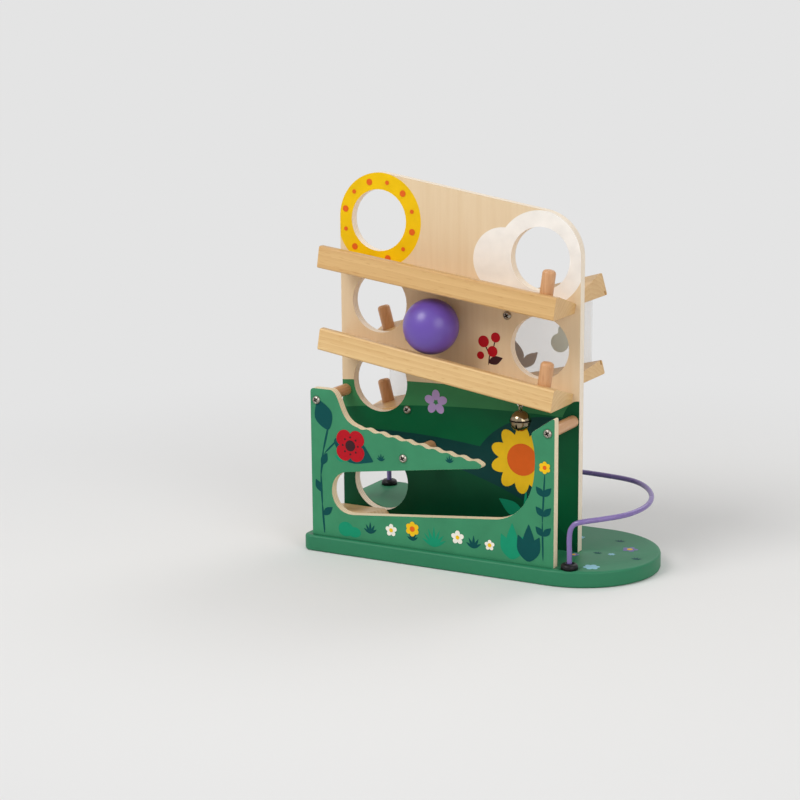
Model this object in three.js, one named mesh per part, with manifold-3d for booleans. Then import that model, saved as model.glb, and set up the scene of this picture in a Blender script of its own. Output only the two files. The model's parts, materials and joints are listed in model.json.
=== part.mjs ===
// Wooden ball run: a ball rolls down four sloping tracks on both sides of an upright board,
// drops from side to side through round holes, runs down a wavy edge past a bell and leaves
// through the lowest hole onto a base that is fenced by a bent rod. Millimetres, +Z up.
import * as THREE from "three";
import { mergeVertices } from "three/addons/utils/BufferGeometryUtils.js";
import { ConvexGeometry } from "three/addons/geometries/ConvexGeometry.js";
import Module from "manifold-3d";

const wasm = await Module();
wasm.setup();
const { Manifold } = wasm;

// Base
const BASE_LEFT = -132.5;
const BASE_FRONT = -61;
const BASE_DEPTH = 147;
const BASE_THICK = 15;
const BASE_STRAIGHT = 250.3;
const BASE_EDGE = 2.2;
const BASE_CORNER = 9;
const HOUSING = 4;
const FIT = 0.15;

// Upright board, with its front face at Y = 0 and the top of the base at Z = 0
const BOARD_WIDTH = 243;
const BOARD_THICK = 9;
const BOARD_CORNER = 42.3;
const HOLE_DIA = 57;
const LEFT_HOLES_INSET = 41;
const LEFT_HOLES_Z = [290.9, 214.5, 139.2, 43.5];
const RIGHT_HOLES_INSET = 39;
const RIGHT_HOLES_Z = [264.3, 184.5];
const CORNER_RAISE = 1.6;

// Tracks
const FRONT_LENGTH = 238;
const REAR_LENGTH = 233;
const TRACK_DEPTH = 46.5;
const REAR_DEPTH = 57;
const TRACK_HEIGHT = 20.4;
const LOW_TRACK_HEIGHT = 13;
const TRACK_INNER = 9;
const TRACK_LIP = 7;
const TRACK_EDGE = 1.2;
const FRONT_PEG_INSET = 11.5;
const REAR_PEG_INSET = 22;
const FRONT_BAR = {
  side: -1,
  length: FRONT_LENGTH,
  depth: TRACK_DEPTH,
  pegInset: FRONT_PEG_INSET,
  high: TRACK_HEIGHT,
};
const REAR_BAR = {
  side: 1,
  length: REAR_LENGTH,
  depth: REAR_DEPTH,
  pegInset: REAR_PEG_INSET,
  high: TRACK_HEIGHT,
};
const UPPER_FRONT = { ...FRONT_BAR, x: -2, z: 234, slope: 7.9 };
const LOWER_FRONT = { ...FRONT_BAR, x: -3.5, z: 155.4, slope: 9.1 };
const UPPER_REAR = { ...REAR_BAR, x: 7.6, z: 194.2, slope: -15.7 };
const LOWER_REAR = {
  ...REAR_BAR,
  high: LOW_TRACK_HEIGHT,
  x: 5.5,
  z: 124.4,
  slope: -14,
};

// Stop pegs, spacer dowels, screws
const PEG_DIA = 12;
const PEG_RISE = 22;
const PEG_SUNK = 9;
const PEG_ROUND = 3;
const PEG_FROM_END = 14.5;
const DOWEL_DIA = 11;
const DOWEL_INSET = 6.5;
const DOWEL_BELOW = 10.9;
const MIDDLE_DOWEL = [-27, 83];
const SCREW_HEAD_DIA = 8;
const SCREW_HEAD_HIGH = 2.4;
const SCREW_DIA = 3.6;
const SCREW_BITE = 9;
const TRACK_SCREW_LOW = 5;
const FRONT_SCREWS = [-60, 40];
const REAR_SCREWS = [-58, 46];

// Front panel
const PANEL_LEFT = -124;
const PANEL_RIGHT = 122;
const PANEL_THICK = 8.5;
const PANEL_SHOULDER = 139.7;
const WAVE_PITCH = 13.4;
const WAVE_HIGH = 0.9;
const RAMP_START = [-74, 106.9];
const RAMP_END = [48.7, 87.2];
const SHOULDER_END = -104;
const PANEL_ROUND = 4;
const POST_HIGH = 135;
const POST_LEFT = 102;
const POST_LEFT_HIGH = 121.3;
const NOTCH_RIGHT = 104.5;
const SLOT_RIGHT = [64, 37.3];
const SLOT_LEFT = [-80, 23.5];
const SLOT_TOP = [-87, 63.6];
const SLOT_BULGE = 27;
const RAMP_TIP = [49.2, 81.8];
const TIP_OUT = 5.5;

// Clear rear panel
const CLEAR_THICK = 3;
const CLEAR_HOUSED = 4;
const CLEAR_LEFT = -104.5;
const CLEAR_RIGHT = 106.5;

// Ball
const BALL_DIA = 51;
const BALL_GAP = 0.25;
const BALL_ALONG = -16.8;

// Bell
const BELL_X = 75.6;
const BELL_Y = -25;
const BELL_RADIUS = 9.6;
const BELL_WALL = 0.9;
const BELL_SLOT = 1.7;
const PELLET_RADIUS = 2.6;
const EYE_RADIUS = 3;
const EYE_WIRE = 0.8;
const LOOP_RADIUS = 2.7;
const LOOP_WIRE = 0.7;
const EYE_DROP = 4.6;
const EYE_SHANK = 9;

// Bent rod and its feet
const ROD_DIA = 4.8;
const ROD_SUNK = 9;
const ROD_FRONT_HIGH = 43;
const ROD_REAR_HIGH = 53.3;
const ROD_INSET = 12;
const ROD_REAR_INSET = 5;
const GROMMET_DIA = 15.5;
const GROMMET_HIGH = 5.2;
const FRONT_FOOT = [135, -50];
const REAR_FOOT = [-110.5, 70];

// Kick block and exit ramp
const KICK_RIGHT = -67;
const KICK_HIGH = 23.2;
const KICK_FALL_BACK = 6.5;
const KICK_TOE = 9;
const EXIT_INSET = 6;
const EXIT_HIGH = 20.5;
const EXIT_SHELF = 28;
const EXIT_LENGTH = 84;
const EXIT_TOE = 1.2;

const LEFT_HOLES_X = LEFT_HOLES_INSET - BOARD_WIDTH / 2;
const RIGHT_HOLES_X = BOARD_WIDTH / 2 - RIGHT_HOLES_INSET;
const BASE_RADIUS = BASE_DEPTH / 2;
const BASE_MIDDLE = BASE_FRONT + BASE_RADIUS;
const BASE_RIGHT = BASE_LEFT + BASE_STRAIGHT + BASE_RADIUS;
const PANEL_FRONT = -TRACK_DEPTH - PANEL_THICK;

const rad = (degrees) => (degrees * Math.PI) / 180;
const mix = (a, b, t) => a + (b - a) * t;

// Closed solids and back

function solid(geometry) {
  const loose = geometry.index ? geometry.toNonIndexed() : geometry;
  const bare = new THREE.BufferGeometry();
  bare.setAttribute("position", loose.getAttribute("position"));
  const joined = mergeVertices(bare, 1e-4);
  const mesh = new wasm.Mesh({
    numProp: 3,
    vertProperties: joined.attributes.position.array,
    triVerts: new Uint32Array(joined.index.array),
  });
  return new Manifold(mesh);
}

function geometryOf(body) {
  const mesh = body.getMesh();
  const flat = new Float32Array(mesh.numVert * 3);
  for (let i = 0; i < mesh.numVert; i++) {
    const from = i * mesh.numProp;
    flat.set(mesh.vertProperties.subarray(from, from + 3), i * 3);
  }
  const geometry = new THREE.BufferGeometry();
  geometry.setAttribute("position", new THREE.BufferAttribute(flat, 3));
  geometry.setIndex(new THREE.BufferAttribute(mesh.triVerts, 1));
  geometry.computeVertexNormals();
  return geometry;
}

const cut = (geometry, ...tools) =>
  geometryOf(
    tools.reduce((body, tool) => body.subtract(solid(tool)), solid(geometry)),
  );

const join = (geometry, ...others) =>
  geometryOf(
    others.reduce((body, other) => body.add(solid(other)), solid(geometry)),
  );

// Basic forms

// A shape drawn in X and Z, given thickness from y0 to y1.
function slab(shape, y0, y1, curveSegments = 18) {
  const depth = y1 - y0;
  const geometry = new THREE.ExtrudeGeometry(shape, {
    depth,
    bevelEnabled: false,
    curveSegments,
  });
  return geometry.rotateX(Math.PI / 2).translate(0, y1, 0);
}

function polygon(points) {
  return new THREE.Shape(points.map(([x, y]) => new THREE.Vector2(x, y)));
}

// A round bar along Y, from y0 to y1.
function barY(diameter, x, z, y0, y1, segments = 24) {
  const bar = new THREE.CylinderGeometry(
    diameter / 2,
    diameter / 2,
    y1 - y0,
    segments,
  );
  return bar.translate(x, 0, z).translate(0, (y0 + y1) / 2, 0);
}

// A round bar along Z, from z0 to z1.
function barZ(diameter, x, y, z0, z1, segments = 24) {
  const bar = new THREE.CylinderGeometry(
    diameter / 2,
    diameter / 2,
    z1 - z0,
    segments,
  );
  return bar.rotateX(Math.PI / 2).translate(x, y, (z0 + z1) / 2);
}

function block(x0, x1, y0, y1, z0, z1) {
  const box = new THREE.BoxGeometry(x1 - x0, y1 - y0, z1 - z0);
  return box.translate((x0 + x1) / 2, (y0 + y1) / 2, (z0 + z1) / 2);
}

// A profile of [radius, height] pairs turned about Z.
function turned(profile, segments = 20) {
  const points = profile.map(([r, z]) => new THREE.Vector2(r, z));
  return new THREE.LatheGeometry(points, segments).rotateX(Math.PI / 2);
}

// Tracks

// Height of the rolling slope above the underside at a distance from the board.
const slopeRise = (track) =>
  (track.high - TRACK_INNER) / (track.depth - TRACK_LIP);
const slopeHeight = (track, v) => TRACK_INNER + slopeRise(track) * v;

function trackMatrix(track) {
  const turn = new THREE.Matrix4().makeRotationY(rad(track.slope));
  const y = track.side < 0 ? 0 : BOARD_THICK;
  return new THREE.Matrix4().makeTranslation(track.x, y, track.z).multiply(turn);
}

// A point of a track, from its length, its distance from the board and its height.
function onTrack(track, along, v, w) {
  const point = new THREE.Vector3(along, track.side * v, w);
  return point.applyMatrix4(trackMatrix(track));
}

// The low end is to the right on the front and to the left on the rear.
const lowEnd = (track) => -track.side * (track.length / 2);
const pegOut = (track) => track.depth - track.pegInset;
const pegAlong = (track) => lowEnd(track) + track.side * PEG_FROM_END;

function trackBar(track) {
  const s = track.side;
  const outer = track.depth;
  const e = TRACK_EDGE;
  const profile = [
    [0, 0],
    [outer - e, 0],
    [outer, e],
    [outer, track.high - e],
    [outer - e, track.high],
    [outer - TRACK_LIP, track.high],
    [0, TRACK_INNER],
  ].map(([v, w]) => [s * v, w]);
  const bar = new THREE.ExtrudeGeometry(polygon(profile), {
    depth: track.length,
    bevelEnabled: false,
  });
  const turn = new THREE.Matrix4().makeBasis(
    new THREE.Vector3(0, 1, 0),
    new THREE.Vector3(0, 0, 1),
    new THREE.Vector3(1, 0, 0),
  );
  return bar.applyMatrix4(turn).translate(-track.length / 2, 0, 0);
}

const screwsAlong = (track) => (track.side < 0 ? FRONT_SCREWS : REAR_SCREWS);

function trackGeometry(track, ...localCuts) {
  const s = track.side;
  const floor = slopeHeight(track, pegOut(track)) - PEG_SUNK;
  const socket = barZ(
    PEG_DIA + 2 * FIT,
    pegAlong(track),
    s * pegOut(track),
    floor,
    track.high + 4,
    16,
  );
  const pilots = screwsAlong(track).map((x) =>
    barY(
      SCREW_DIA + 2 * FIT,
      x,
      TRACK_SCREW_LOW,
      s < 0 ? -SCREW_BITE - 1 : -1,
      s < 0 ? 1 : SCREW_BITE + 1,
      12,
    ),
  );
  const bar = cut(trackBar(track), socket, ...pilots, ...localCuts);
  return bar.applyMatrix4(trackMatrix(track));
}

function pegGeometry(track) {
  const r = PEG_DIA / 2;
  const seat = slopeHeight(track, pegOut(track));
  const floor = seat - PEG_SUNK + FIT;
  const top = seat + PEG_RISE;
  const round = PEG_ROUND;
  const dome = [1, 2].map((i) => {
    const a = (i * Math.PI) / 6;
    return [r - round + round * Math.cos(a), top - round + round * Math.sin(a)];
  });
  const profile = [
    [0, floor],
    [r, floor],
    [r, top - round],
    ...dome,
    [r - round, top],
    [0, top],
  ];
  return turned(profile, 16)
    .translate(pegAlong(track), track.side * pegOut(track), 0)
    .applyMatrix4(trackMatrix(track));
}

// Groove that holds one long edge of the clear panel, in a rear track's own frame.
const clearMiddle = REAR_DEPTH - TRACK_LIP / 2;

function clearGroove(w0, w1) {
  const half = CLEAR_THICK / 2 + FIT;
  const long = REAR_LENGTH / 2 + 2;
  return block(-long, long, clearMiddle - half, clearMiddle + half, w0, w1);
}

// Upright board

function boardShape() {
  const half = BOARD_WIDTH / 2;
  const left = { x: -half + BOARD_CORNER, z: LEFT_HOLES_Z[0] + CORNER_RAISE };
  const right = { x: half - BOARD_CORNER, z: RIGHT_HOLES_Z[0] + CORNER_RAISE };
  const lean = Math.atan2(right.z - left.z, right.x - left.x);
  const shape = new THREE.Shape();
  shape.moveTo(-half, -HOUSING);
  shape.lineTo(half, -HOUSING);
  shape.lineTo(half, right.z);
  shape.absarc(right.x, right.z, BOARD_CORNER, 0, lean + Math.PI / 2, false);
  shape.absarc(left.x, left.z, BOARD_CORNER, lean + Math.PI / 2, Math.PI, false);
  shape.closePath();
  const centres = [
    ...LEFT_HOLES_Z.map((z) => [LEFT_HOLES_X, z]),
    ...RIGHT_HOLES_Z.map((z) => [RIGHT_HOLES_X, z]),
  ];
  for (const [x, z] of centres) {
    const hole = new THREE.Path();
    hole.absarc(x, z, HOLE_DIA / 2, 0, 2 * Math.PI, true);
    shape.holes.push(hole);
  }
  return shape;
}

const dowelSpots = {
  left: [PANEL_LEFT + DOWEL_INSET, PANEL_SHOULDER - DOWEL_BELOW],
  middle: MIDDLE_DOWEL,
  right: [PANEL_RIGHT - DOWEL_INSET, POST_HIGH - DOWEL_BELOW - 3.5],
};

const screwHole = (x, z, y0, y1) => barY(SCREW_DIA + 2 * FIT, x, z, y0, y1, 12);

function boardGeometry() {
  const trackHoles = [UPPER_FRONT, LOWER_FRONT, UPPER_REAR, LOWER_REAR].flatMap(
    (track) =>
      screwsAlong(track).map((along) => {
        const p = onTrack(track, along, 0, TRACK_SCREW_LOW);
        return screwHole(p.x, p.z, -1, BOARD_THICK + 1);
      }),
  );
  const dowelHoles = Object.values(dowelSpots).map(([x, z]) =>
    screwHole(x, z, -1, BOARD_THICK + 1),
  );
  return cut(slab(boardShape(), 0, BOARD_THICK), ...trackHoles, ...dowelHoles);
}

// Front panel

// The wavy edge as points from its low right end to its high left end.
function waveEdge() {
  const [x0, z0] = RAMP_END;
  const [x1, z1] = RAMP_START;
  const length = Math.hypot(x1 - x0, z1 - z0);
  const waves = Math.max(3, Math.round(length / WAVE_PITCH));
  const count = waves * 6;
  return Array.from({ length: count + 1 }, (_, i) => {
    const t = i / count;
    const lift = WAVE_HIGH * Math.sin(2 * Math.PI * waves * t);
    return [mix(x0, x1, t), mix(z0, z1, t) + lift];
  });
}

function panelShape() {
  const [tipX, tipZ] = RAMP_TIP;
  const [endX, endZ] = RAMP_END;
  const [startX, startZ] = RAMP_START;
  const [slotX, slotZ] = SLOT_LEFT;
  const [topX, topZ] = SLOT_TOP;
  const [lowX, lowZ] = SLOT_RIGHT;
  const shape = new THREE.Shape();
  shape.moveTo(PANEL_LEFT, -HOUSING);
  shape.lineTo(PANEL_RIGHT, -HOUSING);
  shape.lineTo(PANEL_RIGHT, POST_HIGH - PANEL_ROUND);
  shape.quadraticCurveTo(PANEL_RIGHT, POST_HIGH, PANEL_RIGHT - 3, POST_HIGH - 2);
  shape.lineTo(POST_LEFT, POST_LEFT_HIGH);
  shape.quadraticCurveTo(POST_LEFT - 3, POST_LEFT_HIGH - 2, POST_LEFT - 1.6, POST_LEFT_HIGH - 6.5);
  const middle = mix(lowZ, POST_LEFT_HIGH, 0.5);
  shape.bezierCurveTo(NOTCH_RIGHT, middle + 21, NOTCH_RIGHT - 1, middle + 12, NOTCH_RIGHT - 2, middle);
  shape.bezierCurveTo(NOTCH_RIGHT - 5.5, middle - 24, lowX + 20, lowZ + 1.6, lowX, lowZ);
  shape.lineTo(slotX, slotZ);
  shape.bezierCurveTo(slotX - SLOT_BULGE, slotZ - 2, topX - SLOT_BULGE + 4, topZ - 4, topX, topZ);
  shape.lineTo(tipX, tipZ);
  shape.quadraticCurveTo(tipX + TIP_OUT, mix(tipZ, endZ, 0.5), endX, endZ);
  for (const [x, z] of waveEdge().slice(1)) {
    shape.lineTo(x, z);
  }
  const neck = mix(startX, SHOULDER_END, 0.62);
  const rise = mix(startZ, PANEL_SHOULDER, 0.57);
  shape.bezierCurveTo(startX - 13, startZ + 3, neck + 3, rise - 7, neck, rise);
  const crest = [SHOULDER_END, PANEL_SHOULDER];
  shape.bezierCurveTo(neck - 3, rise + 8, SHOULDER_END + 6, PANEL_SHOULDER, ...crest);
  shape.lineTo(PANEL_LEFT + PANEL_ROUND, PANEL_SHOULDER);
  shape.quadraticCurveTo(PANEL_LEFT, PANEL_SHOULDER, PANEL_LEFT, PANEL_SHOULDER - PANEL_ROUND);
  shape.closePath();
  return shape;
}

function panelGeometry() {
  const holes = Object.values(dowelSpots).map(([x, z]) =>
    screwHole(x, z, PANEL_FRONT - 1, -TRACK_DEPTH + 1),
  );
  return cut(slab(panelShape(), PANEL_FRONT, -TRACK_DEPTH, 14), ...holes);
}

function dowelGeometry([x, z]) {
  const front = screwHole(x, z, -TRACK_DEPTH - 1, -TRACK_DEPTH + SCREW_BITE + 1);
  const rear = screwHole(x, z, -SCREW_BITE - 1, 1);
  return cut(barY(DOWEL_DIA, x, z, -TRACK_DEPTH, 0), front, rear);
}

// Pan-head screw with a cross recess: head towards -Y when facing is -1, towards +Y when 1.
function screwGeometry(x, y, z, through, facing) {
  const r = SCREW_HEAD_DIA / 2;
  const h = SCREW_HEAD_HIGH;
  const body = turned(
    [
      [0, -through - SCREW_BITE],
      [SCREW_DIA / 2, -through - SCREW_BITE + 3],
      [SCREW_DIA / 2, 0],
      [r, 0],
      [r, 0.35 * h],
      [0.72 * r, 0.85 * h],
      [0, h],
    ],
    12,
  );
  const arm = 0.55 * r;
  const deep = 0.4 * h;
  const recess = [
    block(-arm, arm, -0.55, 0.55, deep, h + 1),
    block(-0.55, 0.55, -arm, arm, deep, h + 1),
  ];
  return cut(body, ...recess)
    .rotateZ(0.5)
    .rotateX((-facing * Math.PI) / 2)
    .translate(x, y, z);
}

// Base

function baseOutline() {
  const top = BASE_FRONT + BASE_DEPTH - BASE_EDGE;
  const bottom = BASE_FRONT + BASE_EDGE;
  const left = BASE_LEFT + BASE_EDGE;
  const c = BASE_CORNER - BASE_EDGE;
  const round = BASE_RIGHT - BASE_RADIUS;
  const shape = new THREE.Shape();
  shape.moveTo(left + c, bottom);
  shape.lineTo(round, bottom);
  shape.absarc(round, BASE_MIDDLE, BASE_RADIUS - BASE_EDGE, -Math.PI / 2, Math.PI / 2, false);
  shape.lineTo(left + c, top);
  shape.absarc(left + c, top - c, c, Math.PI / 2, Math.PI, false);
  shape.absarc(left + c, bottom + c, c, Math.PI, 1.5 * Math.PI, false);
  return shape;
}

function baseGeometry() {
  const board = new THREE.ExtrudeGeometry(baseOutline(), {
    depth: BASE_THICK - 2 * BASE_EDGE,
    bevelEnabled: true,
    bevelThickness: BASE_EDGE,
    bevelSize: BASE_EDGE,
    bevelSegments: 2,
    curveSegments: 16,
  });
  board.translate(0, 0, BASE_EDGE - BASE_THICK);
  const half = BOARD_WIDTH / 2 + FIT;
  const boardGroove = block(-half, half, -FIT, BOARD_THICK + FIT, -HOUSING, 1);
  const panelGroove = block(
    PANEL_LEFT - FIT,
    PANEL_RIGHT + FIT,
    PANEL_FRONT - FIT,
    -TRACK_DEPTH + FIT,
    -HOUSING,
    1,
  );
  const [x, y] = FRONT_FOOT;
  const foot = barZ(ROD_DIA + 2 * FIT, x, y, -ROD_SUNK, 1, 16);
  return cut(board, boardGroove, panelGroove, foot);
}

// Kick block: its top falls towards the hole, and its right end is cut to a short ramp.
function kickGeometry() {
  const x0 = PANEL_LEFT + 1;
  const x1 = KICK_RIGHT;
  const front = -TRACK_DEPTH + FIT;
  const rear = -FIT;
  const ends = [
    [front, KICK_HIGH],
    [rear, KICK_HIGH - KICK_FALL_BACK],
  ];
  const points = ends.flatMap(([y, high]) => [
    new THREE.Vector3(x0, y, 0),
    new THREE.Vector3(x1, y, 0),
    new THREE.Vector3(x0, y, high),
    new THREE.Vector3(x1 - KICK_TOE, y, high),
    new THREE.Vector3(x1, y, 0.5 * high),
  ]);
  return new ConvexGeometry(points);
}

// Exit ramp: a level shelf at the left end, then a slope down to the base.
const exitLeft = BASE_LEFT + EXIT_INSET;
const exitRear = BASE_FRONT + BASE_DEPTH - 3;

function exitGeometry() {
  const profile = polygon([
    [exitLeft, 0],
    [exitLeft + EXIT_LENGTH, 0],
    [exitLeft + EXIT_LENGTH, EXIT_TOE],
    [exitLeft + EXIT_SHELF, EXIT_HIGH],
    [exitLeft, EXIT_HIGH],
  ]);
  const ramp = slab(profile, BOARD_THICK + 0.2, exitRear);
  const [x, y] = REAR_FOOT;
  const foot = barZ(ROD_DIA + 2 * FIT, x, y, EXIT_HIGH - ROD_SUNK, EXIT_HIGH + 1, 16);
  return cut(ramp, foot);
}

// Bent rod: up from the front foot, round the right end and back along the rear.
function rodGeometry() {
  const [fx, fy] = FRONT_FOOT;
  const [rx, ry] = REAR_FOOT;
  const low = ROD_FRONT_HIGH;
  const high = ROD_REAR_HIGH;
  const rear = BASE_FRONT + BASE_DEPTH - ROD_DIA / 2 - ROD_REAR_INSET;
  const round = BASE_RIGHT - BASE_RADIUS;
  const bow = (angle, t) => {
    const out = mix(BASE_RADIUS - ROD_INSET, rear - BASE_MIDDLE, t);
    return new THREE.Vector3(
      round + out * Math.cos(rad(angle)),
      BASE_MIDDLE + out * Math.sin(rad(angle)),
      mix(low, high, t),
    );
  };
  const path = new THREE.CatmullRomCurve3(
    [
      new THREE.Vector3(fx, fy, FIT - ROD_SUNK),
      new THREE.Vector3(fx, fy, 10),
      new THREE.Vector3(fx, fy, low - 10),
      new THREE.Vector3(fx + 2.6, fy + 0.6, low - 2.8),
      new THREE.Vector3(fx + 10, fy + 3, low),
      bow(-50, 0.1),
      bow(-24, 0.24),
      bow(4, 0.42),
      bow(32, 0.7),
      bow(60, 0.94),
      new THREE.Vector3(round - 8, rear, high),
      new THREE.Vector3(0.5 * (round + rx), rear, high),
      new THREE.Vector3(rx + 30, rear, high),
      new THREE.Vector3(rx + 8, mix(rear, ry, 0.4), high),
      new THREE.Vector3(rx + 0.8, ry + 2.2, high - 4.5),
      new THREE.Vector3(rx, ry, high - 12),
      new THREE.Vector3(rx, ry, EXIT_HIGH + 6),
      new THREE.Vector3(rx, ry, EXIT_HIGH - ROD_SUNK + FIT),
    ],
    false,
    "centripetal",
  );
  const ring = new THREE.Shape();
  ring.absarc(0, 0, ROD_DIA / 2, 0, 2 * Math.PI, false);
  return new THREE.ExtrudeGeometry(ring, {
    steps: 88,
    extrudePath: path,
    curveSegments: 4,
    bevelEnabled: false,
  });
}

function grommetGeometry(x, y, z) {
  const hole = ROD_DIA / 2 + 0.2;
  const r = GROMMET_DIA / 2;
  const h = GROMMET_HIGH;
  return turned([
    [hole, 0],
    [r, 0],
    [r, 0.45 * h],
    [r - 0.5, 0.75 * h],
    [r - 1.8, 0.95 * h],
    [r - 3, h],
    [hole, h],
    [hole, 0],
  ]).translate(x, y, z);
}

// Clear panel, housed in the lip of the lower rear track and the underside of the upper one.
function clearGeometry() {
  const lift = CLEAR_HOUSED - FIT;
  const edge = (track, x, w) => {
    const a = onTrack(track, -100, clearMiddle, w);
    const b = onTrack(track, 100, clearMiddle, w);
    return mix(a.z, b.z, (x - a.x) / (b.x - a.x));
  };
  const low = LOWER_REAR.high - lift;
  const shape = polygon([
    [CLEAR_LEFT, edge(LOWER_REAR, CLEAR_LEFT, low)],
    [CLEAR_RIGHT, edge(LOWER_REAR, CLEAR_RIGHT, low)],
    [CLEAR_RIGHT, edge(UPPER_REAR, CLEAR_RIGHT, lift)],
    [CLEAR_LEFT, edge(UPPER_REAR, CLEAR_LEFT, lift)],
  ]);
  const middle = BOARD_THICK + clearMiddle;
  return slab(shape, middle - CLEAR_THICK / 2, middle + CLEAR_THICK / 2);
}

// Ball at rest on the lower front track, touching its slope and the board.
function ballCentre() {
  const reach = BALL_DIA / 2 + BALL_GAP;
  const tilt = Math.atan(slopeRise(LOWER_FRONT));
  const w = slopeHeight(LOWER_FRONT, reach) + reach / Math.cos(tilt);
  return onTrack(LOWER_FRONT, BALL_ALONG, reach, w);
}

// Bell, hung by a loop through the eye of a screw under the lower front track
const underside = onTrack(LOWER_FRONT, 0, 0, 0);
const bellTopZ =
  underside.z - Math.tan(rad(LOWER_FRONT.slope)) * (BELL_X - underside.x);
const eyeZ = bellTopZ - EYE_DROP;
const hangZ = eyeZ - EYE_RADIUS + EYE_WIRE + 0.1;
const loopZ = hangZ + LOOP_WIRE - LOOP_RADIUS;
const bellZ = loopZ - LOOP_RADIUS - BELL_RADIUS + 0.5;

function eyeGeometry() {
  const ring = new THREE.TorusGeometry(EYE_RADIUS, EYE_WIRE, 6, 16);
  ring.rotateX(Math.PI / 2).translate(BELL_X, BELL_Y, eyeZ);
  const shank = barZ(
    2 * EYE_WIRE,
    BELL_X,
    BELL_Y,
    eyeZ + EYE_RADIUS,
    bellTopZ + EYE_SHANK,
    12,
  );
  return join(ring, shank);
}

function bellGeometry() {
  const wall = new THREE.SphereGeometry(BELL_RADIUS, 20, 12);
  const seam = turned(
    [
      [BELL_RADIUS - 0.6, -0.6],
      [BELL_RADIUS + 0.35, -0.6],
      [BELL_RADIUS + 0.35, 0.6],
      [BELL_RADIUS - 0.6, 0.6],
      [BELL_RADIUS - 0.6, -0.6],
    ],
    20,
  );
  const loop = new THREE.TorusGeometry(LOOP_RADIUS, LOOP_WIRE, 6, 16);
  loop.rotateY(Math.PI / 2).translate(0, 0, loopZ - bellZ);
  const inside = new THREE.SphereGeometry(BELL_RADIUS - BELL_WALL, 20, 12);
  const half = BELL_SLOT / 2;
  const reach = BELL_RADIUS + 1;
  const slots = [
    block(-reach, reach, -half, half, -reach, -2.4),
    block(-half, half, -reach, reach, -reach, -2.4),
  ];
  const shell = cut(join(wall, seam, loop), inside, ...slots);
  return shell.translate(BELL_X, BELL_Y, bellZ);
}

function pelletGeometry() {
  const down = BELL_RADIUS - BELL_WALL - PELLET_RADIUS - 0.25;
  const pellet = new THREE.SphereGeometry(PELLET_RADIUS, 12, 8);
  return pellet.translate(BELL_X, BELL_Y, bellZ - down);
}

// Assembly

const finish = (color, roughness = 0.6, metalness = 0) =>
  new THREE.MeshStandardMaterial({ color, roughness, metalness });
const BIRCH = finish(0xdcc3a0);
const PINE = finish(0xe0ba80);
const BEECH = finish(0xcf9b6c);
const GREEN = finish(0x47926a);
const BASE_GREEN = finish(0x2f7f5a);
const PURPLE = finish(0x6a4fa3, 0.25);
const LILAC = finish(0x8a72b5, 0.4);
const BLACK = finish(0x15151a, 0.5);
const CHROME = finish(0xd8d8dc, 0.15, 1);
const CLEAR = finish(0xf2f6f8, 0.05);

const toy = new THREE.Group();

function add(name, geometry, material) {
  const mesh = new THREE.Mesh(geometry, material);
  mesh.name = name;
  toy.add(mesh);
  return mesh;
}

add("base_board", baseGeometry(), BASE_GREEN);
add("centre_board", boardGeometry(), BIRCH);
add("front_panel", panelGeometry(), GREEN);

const eyeHole = barZ(
  2 * EYE_WIRE + 2 * FIT,
  BELL_X,
  BELL_Y,
  bellTopZ - 4,
  bellTopZ + EYE_SHANK + 0.2,
  12,
);
const lowGroove = clearGroove(
  LOWER_REAR.high - CLEAR_HOUSED,
  LOWER_REAR.high + 2,
);
const highGroove = clearGroove(-2, CLEAR_HOUSED);
add("upper_front_track", trackGeometry(UPPER_FRONT), PINE);
add("lower_front_track", cut(trackGeometry(LOWER_FRONT), eyeHole), PINE);
add("upper_rear_track", trackGeometry(UPPER_REAR, highGroove), PINE);
add("lower_rear_track", trackGeometry(LOWER_REAR, lowGroove), PINE);
add("clear_panel", clearGeometry(), CLEAR);

add("upper_front_peg", pegGeometry(UPPER_FRONT), BEECH);
add("lower_front_peg", pegGeometry(LOWER_FRONT), BEECH);
add("upper_rear_peg", pegGeometry(UPPER_REAR), BEECH);
add("lower_rear_peg", pegGeometry(LOWER_REAR), BEECH);

for (const [side, [x, z]] of Object.entries(dowelSpots)) {
  add(`${side}_dowel`, dowelGeometry([x, z]), BEECH);
  const front = screwGeometry(x, PANEL_FRONT, z, PANEL_THICK, -1);
  add(`panel_screw_${side}`, front, CHROME);
  const rear = screwGeometry(x, BOARD_THICK, z, BOARD_THICK, 1);
  add(`dowel_screw_${side}`, rear, CHROME);
}

const screwed = {
  upper_front: UPPER_FRONT,
  lower_front: LOWER_FRONT,
  upper_rear: UPPER_REAR,
  lower_rear: LOWER_REAR,
};
for (const [name, track] of Object.entries(screwed)) {
  screwsAlong(track).forEach((along, i) => {
    const p = onTrack(track, along, 0, TRACK_SCREW_LOW);
    const y = track.side < 0 ? BOARD_THICK : 0;
    const screw = screwGeometry(p.x, y, p.z, BOARD_THICK, -track.side);
    add(`${name}_screw_${i === 0 ? "left" : "right"}`, screw, CHROME);
  });
}

add("kick_block", kickGeometry(), PINE);
add("exit_ramp", exitGeometry(), GREEN);
add("rod_fence", rodGeometry(), LILAC);
add("front_grommet", grommetGeometry(FRONT_FOOT[0], FRONT_FOOT[1], 0), BLACK);
add("rear_grommet", grommetGeometry(REAR_FOOT[0], REAR_FOOT[1], EXIT_HIGH), BLACK);

add("bell_eye_screw", eyeGeometry(), CHROME);
add("bell_shell", bellGeometry(), CHROME);
add("bell_pellet", pelletGeometry(), CHROME);

const centre = ballCentre();
const ball = new THREE.SphereGeometry(BALL_DIA / 2, 34, 20);
add("ball", ball.translate(centre.x, centre.y, centre.z), PURPLE);

toy.position.set(-(BASE_LEFT + BASE_RIGHT) / 2, -BASE_MIDDLE, BASE_THICK);

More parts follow.
